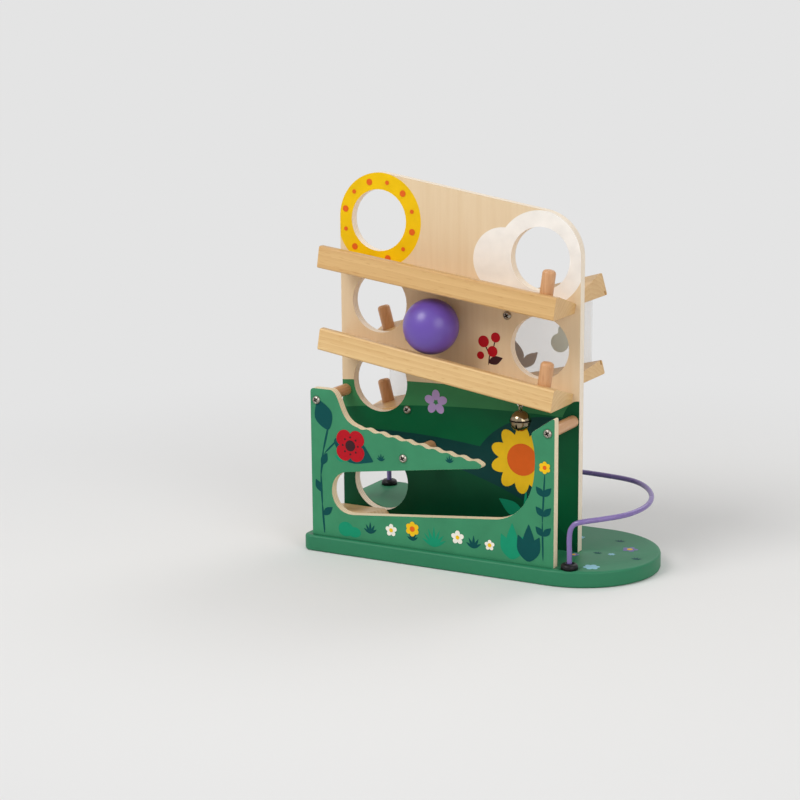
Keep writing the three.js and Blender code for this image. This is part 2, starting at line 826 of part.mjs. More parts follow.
const root = new THREE.Group();
root.name = "ball_run";
root.add(toy);
export default root;
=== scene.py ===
"""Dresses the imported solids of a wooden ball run: timber, ply, paint, print, metal and light."""

import json
import logging
import math
from dataclasses import dataclass, field
from enum import Enum
from typing import Union

import bmesh
import bpy
from mathutils import Euler, Matrix, Vector

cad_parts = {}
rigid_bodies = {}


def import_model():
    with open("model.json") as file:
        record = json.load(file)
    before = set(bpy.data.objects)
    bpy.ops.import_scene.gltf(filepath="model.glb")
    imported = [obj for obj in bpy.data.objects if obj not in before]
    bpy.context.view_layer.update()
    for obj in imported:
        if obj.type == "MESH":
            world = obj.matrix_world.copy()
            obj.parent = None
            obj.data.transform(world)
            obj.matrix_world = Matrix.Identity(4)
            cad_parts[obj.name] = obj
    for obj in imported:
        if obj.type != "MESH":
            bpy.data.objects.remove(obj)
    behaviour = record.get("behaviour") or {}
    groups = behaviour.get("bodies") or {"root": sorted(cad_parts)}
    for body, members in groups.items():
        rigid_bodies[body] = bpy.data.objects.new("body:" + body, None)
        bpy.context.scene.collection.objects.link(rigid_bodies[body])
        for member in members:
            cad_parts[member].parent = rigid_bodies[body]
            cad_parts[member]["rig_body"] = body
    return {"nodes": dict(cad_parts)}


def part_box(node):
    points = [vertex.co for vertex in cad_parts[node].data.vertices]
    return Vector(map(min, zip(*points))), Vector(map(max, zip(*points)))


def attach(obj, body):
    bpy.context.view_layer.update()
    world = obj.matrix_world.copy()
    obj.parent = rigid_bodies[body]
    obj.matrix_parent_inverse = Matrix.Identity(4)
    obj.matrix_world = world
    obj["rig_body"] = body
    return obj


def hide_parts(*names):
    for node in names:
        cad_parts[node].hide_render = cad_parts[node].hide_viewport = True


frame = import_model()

LOG = logging.getLogger("ball_run")
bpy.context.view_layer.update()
MM = 0.001

# Board frame of the drawing: X from the board's middle, Y from its front, Z from the base's top.
SHIFT = Vector((-29.4, -12.5, 15.0))

# Faces that carry prints, along Y in that frame; the board's front is at zero.
BOARD_THICK = 9.0
PANEL_FRONT_Y = -55.0
SHEET_REAR_Y = 64.0

# Middles of the two top holes, X and Z; the sun's ring and the cloud surround them on both faces.
SUN_HOLE = (-80.5, 290.9)
CLOUD_HOLE = (82.5, 264.3)

# Corners of a CAD mesh that lie closer than this, in metres, are one corner.
WELD = 2e-6
# Facets that meet at less than this angle, in degrees, are one flat.
FLAT_ANGLE = 0.4
# Angles in degrees past which an edge stays sharp in the shading: on sawn and on round pieces.
SAWN_EDGE = 35.0
ROUND_EDGE = 80.0

# Distance between the rings of the wave texture at a scale of 1.
WAVE_STEP = 0.314
# Depth in millimetres that lets a printed patch go right through a sheet.
THROUGH_MM = 1e6

Colour = tuple[float, float, float, float]
Setting = Union[float, tuple, bpy.types.NodeSocket]


class Axis(Enum):
    """Direction that the grain of a piece of timber follows."""

    X = "X"
    Y = "Y"
    Z = "Z"


class Face(Enum):
    """Printed surface that a motif lies on."""

    BOARD_FRONT = "board_front"
    BOARD_REAR = "board_rear"
    PANEL_FRONT = "panel_front"
    BASE_TOP = "base_top"
    SHEET_REAR = "sheet_rear"


def place(x: float, y: float, z: float) -> Vector:
    """A point of the board's frame, in millimetres, as a point of the part in metres."""
    return (Vector((x, y, z)) + SHIFT) * MM


def linear(code: str, level: float = 1.0) -> Colour:
    """Turns an sRGB hex colour to linear light.

    Args:
        code: six hex digits with a leading hash.
        level: factor on the linear colour.

    Returns:
        The colour as four linear numbers, the last of them 1.
    """
    parts = [int(code[i : i + 2], 16) / 255 for i in (1, 3, 5)]
    made = [c / 12.92 if c <= 0.04045 else ((c + 0.055) / 1.055) ** 2.4 for c in parts]
    return (level * made[0], level * made[1], level * made[2], 1.0)


def node(
    tree: bpy.types.NodeTree,
    kind: str,
    inputs: dict[Union[int, str], Setting],
    **settings: object,
) -> bpy.types.Node:
    """Adds a node with its settings and links.

    Args:
        tree: node tree that gets the node.
        kind: node type.
        inputs: value or linked socket for each named or numbered input.
        **settings: properties of the node itself.

    Returns:
        The new node.
    """
    made = tree.nodes.new(kind)
    for key, value in settings.items():
        setattr(made, key, value)
    for key, value in inputs.items():
        if isinstance(value, bpy.types.NodeSocket):
            tree.links.new(value, made.inputs[key])
        else:
            made.inputs[key].default_value = value
    return made


def seen_rays(tree: bpy.types.NodeTree) -> bpy.types.NodeSocket:
    """Tells what the eye sees, directly, mirrored or through a clear piece, from what only lights.

    Args:
        tree: node tree that gets the nodes.

    Returns:
        Socket that is 1 for rays that are seen and 0 for the others.
    """
    path = node(tree, "ShaderNodeLightPath", {})
    direct = {0: path.outputs["Is Camera Ray"], 1: path.outputs["Is Glossy Ray"]}
    mirrored = node(tree, "ShaderNodeMath", direct, operation="MAXIMUM")
    through = {0: mirrored.outputs[0], 1: path.outputs["Is Transmission Ray"]}
    return node(tree, "ShaderNodeMath", through, operation="MAXIMUM").outputs[0]


@dataclass(frozen=True)
class Finish:
    """A surface finish, made once as a material and then shared."""

    name: str

    def material(self) -> bpy.types.Material:
        """Finds or makes the material.

        Returns:
            The one material of this name.
        """
        found = bpy.data.materials.get(self.name)
        if found:
            return found
        made = bpy.data.materials.new(self.name)
        made.use_nodes = True
        made.node_tree.nodes.clear()
        shader = self.shade(made.node_tree)
        node(made.node_tree, "ShaderNodeOutputMaterial", {"Surface": shader})
        return made

    def shade(self, tree: bpy.types.NodeTree) -> bpy.types.NodeSocket:
        """Builds the finish's nodes.

        Args:
            tree: node tree that gets the nodes.

        Returns:
            Socket of the shader.
        """
        raise NotImplementedError

    def millimetres(self, tree: bpy.types.NodeTree) -> bpy.types.NodeSocket:
        """Scales the object's own coordinates.

        Args:
            tree: node tree that gets the nodes.

        Returns:
            Socket of the coordinates in millimetres.
        """
        coords = node(tree, "ShaderNodeTexCoord", {}).outputs["Object"]
        scaled = {0: coords, "Scale": 1 / MM}
        return node(tree, "ShaderNodeVectorMath", scaled, operation="SCALE").outputs[0]


@dataclass(frozen=True)
class Timber(Finish):
    """Sanded softwood or beech: growth rings cut lengthwise, fibres and a thin clear coat.

    Rings, fibres and clouds of tone are stretched along the grain, and the short dark pores less so.
    Real fibres and pores are under a tenth of a millimetre wide and are drawn coarser, to show.
    """

    light: str = "#e8c890"
    dark: str = "#c9985c"
    grain: Axis = Axis.X
    slope: float = 0.0
    ring_mm: float = 6.0
    ring_share: float = 0.55
    stretch: float = 0.035
    fibres_per_mm: float = 1.3
    clouds_per_mm: float = 0.09
    pores_per_mm: float = 1.0
    pore_stretch: float = 0.11
    pore_share: float = 0.35
    heart: tuple[float, float, float] = (0.0, 60.0, -90.0)
    roughness: float = 0.42
    coat: float = 0.12

    def shade(self, tree: bpy.types.NodeTree) -> bpy.types.NodeSocket:
        """Rings about a far heart line, stretched fibres and short pores.

        Args:
            tree: node tree that gets the nodes.

        Returns:
            Socket of the shader.
        """
        turn = {
            Axis.X: (0.0, -math.radians(self.slope), 0.0),
            Axis.Y: (0.0, 0.0, -math.pi / 2),
            Axis.Z: (0.0, math.pi / 2, 0.0),
        }[self.grain]
        base = self.millimetres(tree)
        shift = tuple(-c for c in self.heart)
        laid = node(tree, "ShaderNodeMapping", {"Vector": base, "Rotation": turn, "Location": shift})
        drawn = {"Vector": laid.outputs[0], "Scale": (self.stretch, 1.0, 1.0)}
        long = node(tree, "ShaderNodeMapping", drawn)
        rings = node(
            tree,
            "ShaderNodeTexWave",
            {
                "Vector": long.outputs[0],
                "Scale": WAVE_STEP / self.ring_mm,
                "Distortion": 3.2,
                "Detail": 2.0,
                "Detail Scale": 1.6,
                "Detail Roughness": 0.55,
            },
            wave_type="RINGS",
            rings_direction="X",
            wave_profile="SAW",
        )
        fibres = node(
            tree,
            "ShaderNodeTexNoise",
            {
                "Vector": long.outputs[0],
                "Scale": self.fibres_per_mm,
                "Detail": 4.0,
                "Roughness": 0.62,
            },
        )
        clouds = node(
            tree,
            "ShaderNodeTexNoise",
            {
                "Vector": long.outputs[0],
                "Scale": self.clouds_per_mm,
                "Detail": 2.0,
                "Roughness": 0.5,
            },
        )
        fibre_share = {0: fibres.outputs[0], 1: 0.45, 2: -0.1}
        spread = node(tree, "ShaderNodeMath", fibre_share, operation="MULTIPLY_ADD")
        ring_part = {0: rings.outputs[1], 1: self.ring_share, 2: spread.outputs[0]}
        mixed = node(tree, "ShaderNodeMath", ring_part, operation="MULTIPLY_ADD")
        cloud_part = {0: clouds.outputs[0], 1: 0.5, 2: mixed.outputs[0]}
        tone = node(tree, "ShaderNodeMath", cloud_part, operation="MULTIPLY_ADD", use_clamp=True)
        lower = {0: tone.outputs[0], 1: 0.22}
        ringed = node(tree, "ShaderNodeMath", lower, operation="SUBTRACT", use_clamp=True)
        cut = {"Vector": laid.outputs[0], "Scale": (self.pore_stretch, 1.0, 1.0)}
        short = node(tree, "ShaderNodeMapping", cut)
        dots = {"Vector": short.outputs[0], "Scale": self.pores_per_mm, "Detail": 0.0}
        specks = node(tree, "ShaderNodeTexNoise", dots)
        pores = node(
            tree,
            "ShaderNodeMapRange",
            {
                "Value": specks.outputs[0],
                "From Min": 0.69,
                "From Max": 0.77,
                "To Max": self.pore_share,
            },
        )
        both = {0: ringed.outputs[0], 1: pores.outputs[0]}
        factor = node(tree, "ShaderNodeMath", both, operation="ADD", use_clamp=True)
        colour = node(
            tree,
            "ShaderNodeMix",
            {0: factor.outputs[0], 6: linear(self.light), 7: linear(self.dark)},
            data_type="RGBA",
        )
        dull = {0: fibres.outputs[0], 1: 0.16, 2: self.roughness - 0.08}
        rough = node(tree, "ShaderNodeMath", dull, operation="MULTIPLY_ADD")
        relief = node(
            tree,
            "ShaderNodeBump",
            {"Height": fibres.outputs[0], "Strength": 0.12, "Distance": 0.25 * MM},
        )
        skin = {
            "Base Color": colour.outputs[2],
            "Roughness": rough.outputs[0],
            "Normal": relief.outputs[0],
            "IOR": 1.5,
            "Coat Weight": self.coat,
            "Coat Roughness": 0.3,
        }
        return node(tree, "ShaderNodeBsdfPrincipled", skin).outputs[0]


@dataclass(frozen=True)
class Patch:
    """An elliptical area of printed ink on one face of a sheet, in the board's X and Z."""

    x: float
    z: float
    across: float
    high: float
    colour: str
    turn: float = 0.0


@dataclass(frozen=True)
class PrintedPly(Finish):
    """Birch plywood: veneer layers on every cut edge, and printed faces.

    Birch ply of about nine millimetres has seven veneers, and every other one shows end grain. The
    veneer's fibres are drawn coarser than real ones, to show.
    """

    y_front: float = 0.0
    thick: float = BOARD_THICK
    layers: int = 7
    figure_per_mm: float = 0.16
    figure_stretch: float = 0.05
    fibres_per_mm: float = 1.6
    drift_per_mm: float = 0.12
    wash_per_mm: float = 0.05
    ground: str = ""
    patches: tuple[Patch, ...] = ()
    rear_patches: tuple[Patch, ...] = ()
    face: str = "#e9d4b4"
    face_dark: str = "#d9bd95"
    core: str = "#efdcb6"
    glue: str = "#a97c4c"
    gloss: float = 0.16

    def shade(self, tree: bpy.types.NodeTree) -> bpy.types.NodeSocket:
        """Veneer, then the printed areas in order, then the edge's layers.

        Args:
            tree: node tree that gets the nodes.

        Returns:
            Socket of the shader.
        """
        base = self.millimetres(tree)
        drawn = {"Vector": base, "Scale": (1.0, 1.0, self.figure_stretch)}
        grain = node(tree, "ShaderNodeMapping", drawn)
        figure = node(
            tree,
            "ShaderNodeTexNoise",
            {
                "Vector": grain.outputs[0],
                "Scale": self.figure_per_mm,
                "Detail": 6.0,
                "Roughness": 0.68,
            },
        )
        veneer = node(
            tree,
            "ShaderNodeMix",
            {0: figure.outputs[0], 6: linear(self.face), 7: linear(self.face_dark)},
            data_type="RGBA",
        )
        printed = self.print_on(tree, base, veneer.outputs[2], self.patches, self.ground)
        rear = self.print_on(tree, base, veneer.outputs[2], self.rear_patches)
        normal = node(tree, "ShaderNodeNewGeometry", {}).outputs["Normal"]
        facing = node(tree, "ShaderNodeSeparateXYZ", {0: normal}).outputs[1]
        front = node(tree, "ShaderNodeMath", {0: facing, 1: -0.5}, operation="LESS_THAN")
        flat = node(
            tree,
            "ShaderNodeMix",
            {0: front.outputs[0], 6: rear, 7: printed},
            data_type="RGBA",
        )
        upright = node(tree, "ShaderNodeMath", {0: facing}, operation="ABSOLUTE")
        edge = node(tree, "ShaderNodeMath", {0: upright.outputs[0], 1: 0.5}, operation="LESS_THAN")
        colour = node(
            tree,
            "ShaderNodeMix",
            {0: edge.outputs[0], 6: flat.outputs[2], 7: self.layer_colour(tree, base)},
            data_type="RGBA",
        )
        fibre = {"Vector": grain.outputs[0], "Scale": self.fibres_per_mm, "Detail": 3.0}
        fine = node(tree, "ShaderNodeTexNoise", fibre)
        dull = {0: fine.outputs[0], 1: 0.18, 2: 0.36}
        rough = node(tree, "ShaderNodeMath", dull, operation="MULTIPLY_ADD")
        relief = node(
            tree,
            "ShaderNodeBump",
            {"Height": fine.outputs[0], "Strength": 0.08, "Distance": 0.2 * MM},
        )
        skin = {
            "Base Color": colour.outputs[2],
            "Roughness": rough.outputs[0],
            "Normal": relief.outputs[0],
            "IOR": 1.5,
            "Specular IOR Level": self.gloss,
        }
        return node(tree, "ShaderNodeBsdfPrincipled", skin).outputs[0]

    def layer_colour(
        self, tree: bpy.types.NodeTree, base: bpy.types.NodeSocket
    ) -> bpy.types.NodeSocket:
        """Colour of a cut edge.

        Args:
            tree: node tree that gets the nodes.
            base: coordinates in millimetres.

        Returns:
            Socket of the striped colour: every other veneer is end grain and darker.
        """
        depth = node(tree, "ShaderNodeSeparateXYZ", {0: base}).outputs[1]
        inward = {0: depth, 1: self.y_front + SHIFT.y}
        from_front = node(tree, "ShaderNodeMath", inward, operation="SUBTRACT")
        loose = {"Vector": base, "Scale": self.drift_per_mm, "Detail": 2.0}
        wobble = node(tree, "ShaderNodeTexNoise", loose)
        drift = {0: wobble.outputs[0], 1: 0.5, 2: from_front.outputs[0]}
        drifted = node(tree, "ShaderNodeMath", drift, operation="MULTIPLY_ADD")
        wide = {0: drifted.outputs[0], 1: self.layers / self.thick}
        count = node(tree, "ShaderNodeMath", wide, operation="MULTIPLY")
        swing = node(tree, "ShaderNodeMath", {0: count.outputs[0], 1: 1.0}, operation="PINGPONG")
        sharp = node(
            tree,
            "ShaderNodeMapRange",
            {"Value": swing.outputs[0], "From Min": 0.62, "From Max": 0.9},
        )
        part = node(tree, "ShaderNodeMath", {0: sharp.outputs[0], 1: 0.62}, operation="MULTIPLY")
        return node(
            tree,
            "ShaderNodeMix",
            {0: part.outputs[0], 6: linear(self.core), 7: linear(self.glue)},
            data_type="RGBA",
        ).outputs[2]

    def print_on(
        self,
        tree: bpy.types.NodeTree,
        base: bpy.types.NodeSocket,
        under: bpy.types.NodeSocket,
        patches: tuple[Patch, ...],
        ground: str = "",
    ) -> bpy.types.NodeSocket:
        """Lays a ground colour and patches over the veneer.

        Args:
            tree: node tree that gets the nodes.
            base: coordinates in millimetres.
            under: colour of the bare veneer.
            patches: printed areas, from the lowest to the topmost.
            ground: colour of the whole face, or nothing for bare veneer.

        Returns:
            Socket of the printed colour.
        """
        if not (patches or ground):
            return under
        uneven = {"Vector": base, "Scale": self.wash_per_mm, "Detail": 3.0}
        ink = node(tree, "ShaderNodeTexNoise", uneven)
        wash = {0: ink.outputs[0], 1: 0.34, 2: 0.83}
        shade = node(tree, "ShaderNodeMath", wash, operation="MULTIPLY_ADD")
        colour = under
        if ground:
            tint = {0: linear(ground)[:3], "Scale": shade.outputs[0]}
            colour = node(tree, "ShaderNodeVectorMath", tint, operation="SCALE").outputs[0]
        for patch in patches:
            centre = Vector((patch.x, 0.0, patch.z)) + SHIFT
            radii = (patch.across, THROUGH_MM, patch.high)
            local = node(
                tree,
                "ShaderNodeMapping",
                {
                    "Vector": base,
                    "Location": tuple(centre),
                    "Rotation": (0.0, -math.radians(patch.turn), 0.0),
                    "Scale": radii,
                },
                vector_type="TEXTURE",
            )
            reach = node(tree, "ShaderNodeVectorMath", {0: local.outputs[0]}, operation="LENGTH")
            rim = {0: reach.outputs["Value"], 1: 1.0}
            inside = node(tree, "ShaderNodeMath", rim, operation="LESS_THAN")
            tint = {0: linear(patch.colour)[:3], "Scale": shade.outputs[0]}
            inked = node(tree, "ShaderNodeVectorMath", tint, operation="SCALE")
            colour = node(
                tree,
                "ShaderNodeMix",
                {0: inside.outputs[0], 6: colour, 7: inked.outputs[0]},
                data_type="RGBA",
            ).outputs[2]
        return colour


@dataclass(frozen=True)
class Paint(Finish):
    """Sprayed lacquer on wood or wire: even colour, faint orange peel, soft mottling."""

    colour: str = "#2f7f5a"
    roughness: float = 0.35
    peel_mm: float = 1.6
    peel: float = 0.05
    mottle_mm: float = 30.0
    mottle: float = 0.12
    coat: float = 0.2
    gloss: float = 0.5

    def shade(self, tree: bpy.types.NodeTree) -> bpy.types.NodeSocket:
        """Colour varied a little over each few centimetres, over a fine peel.

        Args:
            tree: node tree that gets the nodes.

        Returns:
            Socket of the shader.
        """
        base = self.millimetres(tree)
        broad = {"Vector": base, "Scale": 1 / self.mottle_mm, "Detail": 3.0}
        mottle = node(tree, "ShaderNodeTexNoise", broad)
        level = {0: mottle.outputs[0], 1: 2 * self.mottle, 2: 1 - self.mottle}
        shade = node(tree, "ShaderNodeMath", level, operation="MULTIPLY_ADD")
        tint = {0: linear(self.colour)[:3], "Scale": shade.outputs[0]}
        colour = node(tree, "ShaderNodeVectorMath", tint, operation="SCALE")
        fine = {"Vector": base, "Scale": 1 / self.peel_mm, "Detail": 1.0}
        peel = node(tree, "ShaderNodeTexNoise", fine)
        relief = node(
            tree,
            "ShaderNodeBump",
            {"Height": peel.outputs[0], "Strength": self.peel, "Distance": 0.3 * MM},
        )
        dull = {0: mottle.outputs[0], 1: 0.1, 2: self.roughness - 0.05}
        rough = node(tree, "ShaderNodeMath", dull, operation="MULTIPLY_ADD")
        skin = {
            "Base Color": colour.outputs[0],
            "Roughness": rough.outputs[0],
            "Normal": relief.outputs[0],
            "IOR": 1.5,
            "Specular IOR Level": self.gloss,
            "Coat Weight": self.coat,
            "Coat Roughness": 0.12,
        }
        return node(tree, "ShaderNodeBsdfPrincipled", skin).outputs[0]


@dataclass(frozen=True)
class Plated(Finish):
    """Bright plate over metal: mirror-like, with a fine polishing haze.

    The haze is drawn coarser than real polishing marks, to show. Where the seam has a width, a dark
    line of painted shade runs round the piece at the seam's height.
    """

    colour: str = "#d9d6d0"
    roughness: float = 0.16
    haze_per_mm: float = 0.5
    haze_level: float = 0.82
    seam_z: float = 0.0
    seam_mm: float = 0.0
    # Colour of the painted shade along the seam.
    seam_shade: str = "#1a120b"

    def shade(self, tree: bpy.types.NodeTree) -> bpy.types.NodeSocket:
        """Metal with a tone and a roughness that vary a little, and the seam if there is one.

        Args:
            tree: node tree that gets the nodes.

        Returns:
            Socket of the shader.
        """
        base = self.millimetres(tree)
        film = {"Vector": base, "Scale": self.haze_per_mm, "Detail": 4.0}
        haze = node(tree, "ShaderNodeTexNoise", film)
        dull = {0: haze.outputs[0], 1: 0.16, 2: self.roughness - 0.08}
        rough = node(tree, "ShaderNodeMath", dull, operation="MULTIPLY_ADD")
        tone = node(
            tree,
            "ShaderNodeMix",
            {
                0: haze.outputs[0],
                6: linear(self.colour),
                7: linear(self.colour, self.haze_level),
            },
            data_type="RGBA",
        )
        # The dark line along the seam is painted shade.
        if self.seam_mm:
            height = node(tree, "ShaderNodeSeparateXYZ", {0: base}).outputs[2]
            above = node(tree, "ShaderNodeMath", {0: height, 1: self.seam_z}, operation="SUBTRACT")
            away = node(tree, "ShaderNodeMath", {0: above.outputs[0]}, operation="ABSOLUTE")
            bright = node(
                tree,
                "ShaderNodeMapRange",
                {
                    "Value": away.outputs[0],
                    "From Min": 0.4 * self.seam_mm,
                    "From Max": 0.7 * self.seam_mm,
                },
            )
            tone = node(
                tree,
                "ShaderNodeMix",
                {0: bright.outputs[0], 6: linear(self.seam_shade), 7: tone.outputs[2]},
                data_type="RGBA",
            )
        skin = {
            "Base Color": tone.outputs[2],
            "Metallic": 1.0,
            "Roughness": rough.outputs[0],
        }
        return node(tree, "ShaderNodeBsdfPrincipled", skin).outputs[0]


@dataclass(frozen=True)
class Rubber(Finish):
    """Moulded black rubber: matt, with a fine moulded grit that is drawn coarser than real, to show."""

    colour: str = "#0b0b0d"
    worn: str = "#1b1b1e"
    grit_per_mm: float = 1.8
    roughness: float = 0.4
    gloss: float = 0.22

    def shade(self, tree: bpy.types.NodeTree) -> bpy.types.NodeSocket:
        """Near-black with a gritty bump.

        Args:
            tree: node tree that gets the nodes.

        Returns:
            Socket of the shader.
        """
        base = self.millimetres(tree)
        pitted = {"Vector": base, "Scale": self.grit_per_mm, "Detail": 2.0}
        grit = node(tree, "ShaderNodeTexNoise", pitted)
        tone = node(
            tree,
            "ShaderNodeMix",
            {0: grit.outputs[0], 6: linear(self.colour), 7: linear(self.worn)},
            data_type="RGBA",
        )
        relief = node(
            tree,
            "ShaderNodeBump",
            {"Height": grit.outputs[0], "Strength": 0.2, "Distance": 0.2 * MM},
        )
        skin = {
            "Base Color": tone.outputs[2],
            "Roughness": self.roughness,
            "Normal": relief.outputs[0],
            "IOR": 1.52,
            "Specular IOR Level": self.gloss,
        }
        return node(tree, "ShaderNodeBsdfPrincipled", skin).outputs[0]


@dataclass(frozen=True)
class ClearSheet(Finish):
    """Cast acrylic sheet: see-through with a faint milky body and light handling haze."""

    colour: str = "#f3f6f7"
    body: float = 0.2
    haze_per_mm: float = 0.04

    def shade(self, tree: bpy.types.NodeTree) -> bpy.types.NodeSocket:
        """Thin see-through sheet with a roughness that varies slightly.

        Args:
            tree: node tree that gets the nodes.

        Returns:
            Socket of the shader.
        """
        base = self.millimetres(tree)
        film = {"Vector": base, "Scale": self.haze_per_mm, "Detail": 4.0}
        haze = node(tree, "ShaderNodeTexNoise", film)
        dull = {0: haze.outputs[0], 1: 0.08, 2: 0.06}
        rough = node(tree, "ShaderNodeMath", dull, operation="MULTIPLY_ADD")
        skin = {
            "Base Color": linear(self.colour),
            "Roughness": rough.outputs[0],
            "IOR": 1.49,
            "Alpha": self.body,
        }
        return node(tree, "ShaderNodeBsdfPrincipled", skin).outputs[0]


@dataclass(frozen=True)
class StudioPaper(Finish):
    """Matt backdrop paper that keeps the shadow near the object and stays evenly pale far off.

    Its fibres are drawn coarser than real ones, to show.
    """

    colour: str = "#e9e8e6"
    far_colour: str = "#e4e4e4"
    near_mm: float = 260.0
    far_mm: float = 900.0
    fibres_per_mm: float = 0.4

    def shade(self, tree: bpy.types.NodeTree) -> bpy.types.NodeSocket:
        """Diffuse paper that gives way to an even tone with distance for what the eye sees.

        Args:
            tree: node tree that gets the nodes.

        Returns:
            Socket of the shader.
        """
        base = self.millimetres(tree)
        reach = node(tree, "ShaderNodeVectorMath", {0: base}, operation="LENGTH").outputs["Value"]
        far = node(
            tree,
            "ShaderNodeMapRange",
            {"Value": reach, "From Min": self.near_mm, "From Max": self.far_mm},
            interpolation_type="SMOOTHSTEP",
        )
        share = {0: far.outputs[0], 1: seen_rays(tree)}
        factor = node(tree, "ShaderNodeMath", share, operation="MULTIPLY")
        felted = {"Vector": base, "Scale": self.fibres_per_mm, "Detail": 3.0}
        fibre = node(tree, "ShaderNodeTexNoise", felted)
        dull = {0: fibre.outputs[0], 1: 0.1, 2: 0.8}
        rough = node(tree, "ShaderNodeMath", dull, operation="MULTIPLY_ADD")
        paper = {"Base Color": linear(self.colour), "Roughness": rough.outputs[0]}
        lit = node(tree, "ShaderNodeBsdfPrincipled", paper)
        even = node(tree, "ShaderNodeEmission", {"Color": linear(self.far_colour), "Strength": 1.0})
        mixed = {0: factor.outputs[0], 1: lit.outputs[0], 2: even.outputs[0]}
        return node(tree, "ShaderNodeMixShader", mixed).outputs[0]


SUN_YELLOW = "#ecbf00"
CLOUD_WHITE = "#f0ebe4"
POOL_TEAL = "#033b38"
HOLE_PRINTS = (
    Patch(*SUN_HOLE, 44.0, 44.0, SUN_YELLOW),
    Patch(*CLOUD_HOLE, 43.0, 43.0, CLOUD_WHITE),
)

# Birch ply, sanded and screen-printed: faint upright figure, flat matt colour, striped edges.
BIRCH_BOARD = PrintedPly(
    "printed_birch_board",
    core="#fdf0dc",
    glue="#b98f62",
    patches=HOLE_PRINTS
    + (
        Patch(46.0, 261.0, 29.5, 29.5, CLOUD_WHITE),
        Patch(58.0, 236.0, 30.0, 20.0, CLOUD_WHITE),
        Patch(-10.0, 0.0, 430.0, 143.0, "#39804f"),
        Patch(60.0, -60.0, 500.0, 184.0, "#025c36"),
        Patch(-20.0, 38.0, 200.0, 54.0, POOL_TEAL, -4.0),
        Patch(94.0, 58.0, 80.0, 64.0, POOL_TEAL),
        Patch(134.0, 30.0, 32.0, 110.0, "#02522f", 8.0),
        Patch(-120.0, -40.0, 260.0, 118.0, "#01472a"),
    ),
    rear_patches=HOLE_PRINTS
    + (
        Patch(44.0, 252.0, 27.0, 31.0, CLOUD_WHITE),
        Patch(2.0, 268.0, 12.0, 9.0, CLOUD_WHITE),
        Patch(-8.0, 271.0, 11.0, 12.0, CLOUD_WHITE),
        Patch(-20.0, 267.0, 12.0, 8.0, CLOUD_WHITE),
        Patch(-24.0, 226.0, 10.0, 7.0, CLOUD_WHITE),
        Patch(-34.0, 228.0, 10.0, 10.0, CLOUD_WHITE),
        Patch(125.0, -4.0, 310.0, 148.0, "#4a8f55"),
        Patch(-60.0, -10.0, 260.0, 100.0, "#2c7a4c"),
        Patch(60.0, -40.0, 200.0, 78.0, "#1d6a45", 3.0),
    ),
)
# Birch ply with a printed green front: even mid green against pale striped edges.
GREEN_PANEL = PrintedPly(
    "printed_green_panel",
    y_front=PANEL_FRONT_Y,
    thick=8.5,
    ground="#3d8962",
    core="#f8e8c6",
)
# Green lacquer sprayed on board: satin, with a soft sheen on the eased edges.
BASE_LACQUER = Paint(
    "green_lacquer_base", colour="#257853", roughness=0.5, mottle=0.08, coat=0.04, gloss=0.35
)
# The same lacquer on the ramp, a little lighter.
RAMP_LACQUER = Paint(
    "green_lacquer_ramp", colour="#2f7d57", roughness=0.5, mottle=0.08, coat=0.04, gloss=0.35
)
# Purple lacquer on turned wood: deep colour with small soft highlights.
BALL_LACQUER = Paint(
    "purple_gloss_ball", colour="#6549a6", roughness=0.34, peel=0.02, mottle=0.06, coat=0.12
)
# Lilac powder coat on bent wire: a light line along the top of every bend.
ROD_LACQUER = Paint("lilac_coated_wire", colour="#7b67a3", roughness=0.27, mottle=0.06)
# Steamed beech, turned: warm pink brown with close, weak rings along each peg.
PEG_BEECH = Timber(
    "steamed_beech_pegs",
    light="#dca878",
    dark="#b97f50",
    grain=Axis.Z,
    ring_mm=2.6,
    ring_share=0.3,
    heart=(0.0, 30.0, 40.0),
)
# The same beech in the spacers, a little darker as painted shade, with its grain from front to back.
DOWEL_BEECH = Timber(
    "steamed_beech_dowels",
    light="#d4a476",
    dark="#b27c4e",
    grain=Axis.Y,
    ring_mm=2.6,
    ring_share=0.3,
    heart=(0.0, 30.0, 40.0),
)
# Planed pine: pale yellow with broad rings.
BLOCK_PINE = Timber("sanded_pine_block", light="#e6c793", dark="#c99c63", ring_mm=4.5)
# Nickel plate on wire: bright and nearly white.
NICKEL = Plated("nickel_plate")
# Zinc plate on screws: grey, darkened as a painted reflection of dark surroundings, with blurred
# reflections.
SCREW_STEEL = Plated("zinc_plated_screw", colour="#aaa499", roughness=0.3)
# The floor of a screw's cross: painted shade, dark where light does not reach into the recess.
CROSS_PAINTED_SHADE = Plated("shaded_screw_recess", colour="#2b2724", roughness=0.6)
# Moulded rubber: black, with a dull bloom.
GROMMET_RUBBER = Rubber("moulded_black_rubber")
# Cast acrylic: the board shows through, softened by a thin white veil.
ACRYLIC = ClearSheet("cast_acrylic_sheet")
# Matt paper: a pale ground that takes a soft shadow.
STUDIO_PAPER = StudioPaper("matt_backdrop_paper")


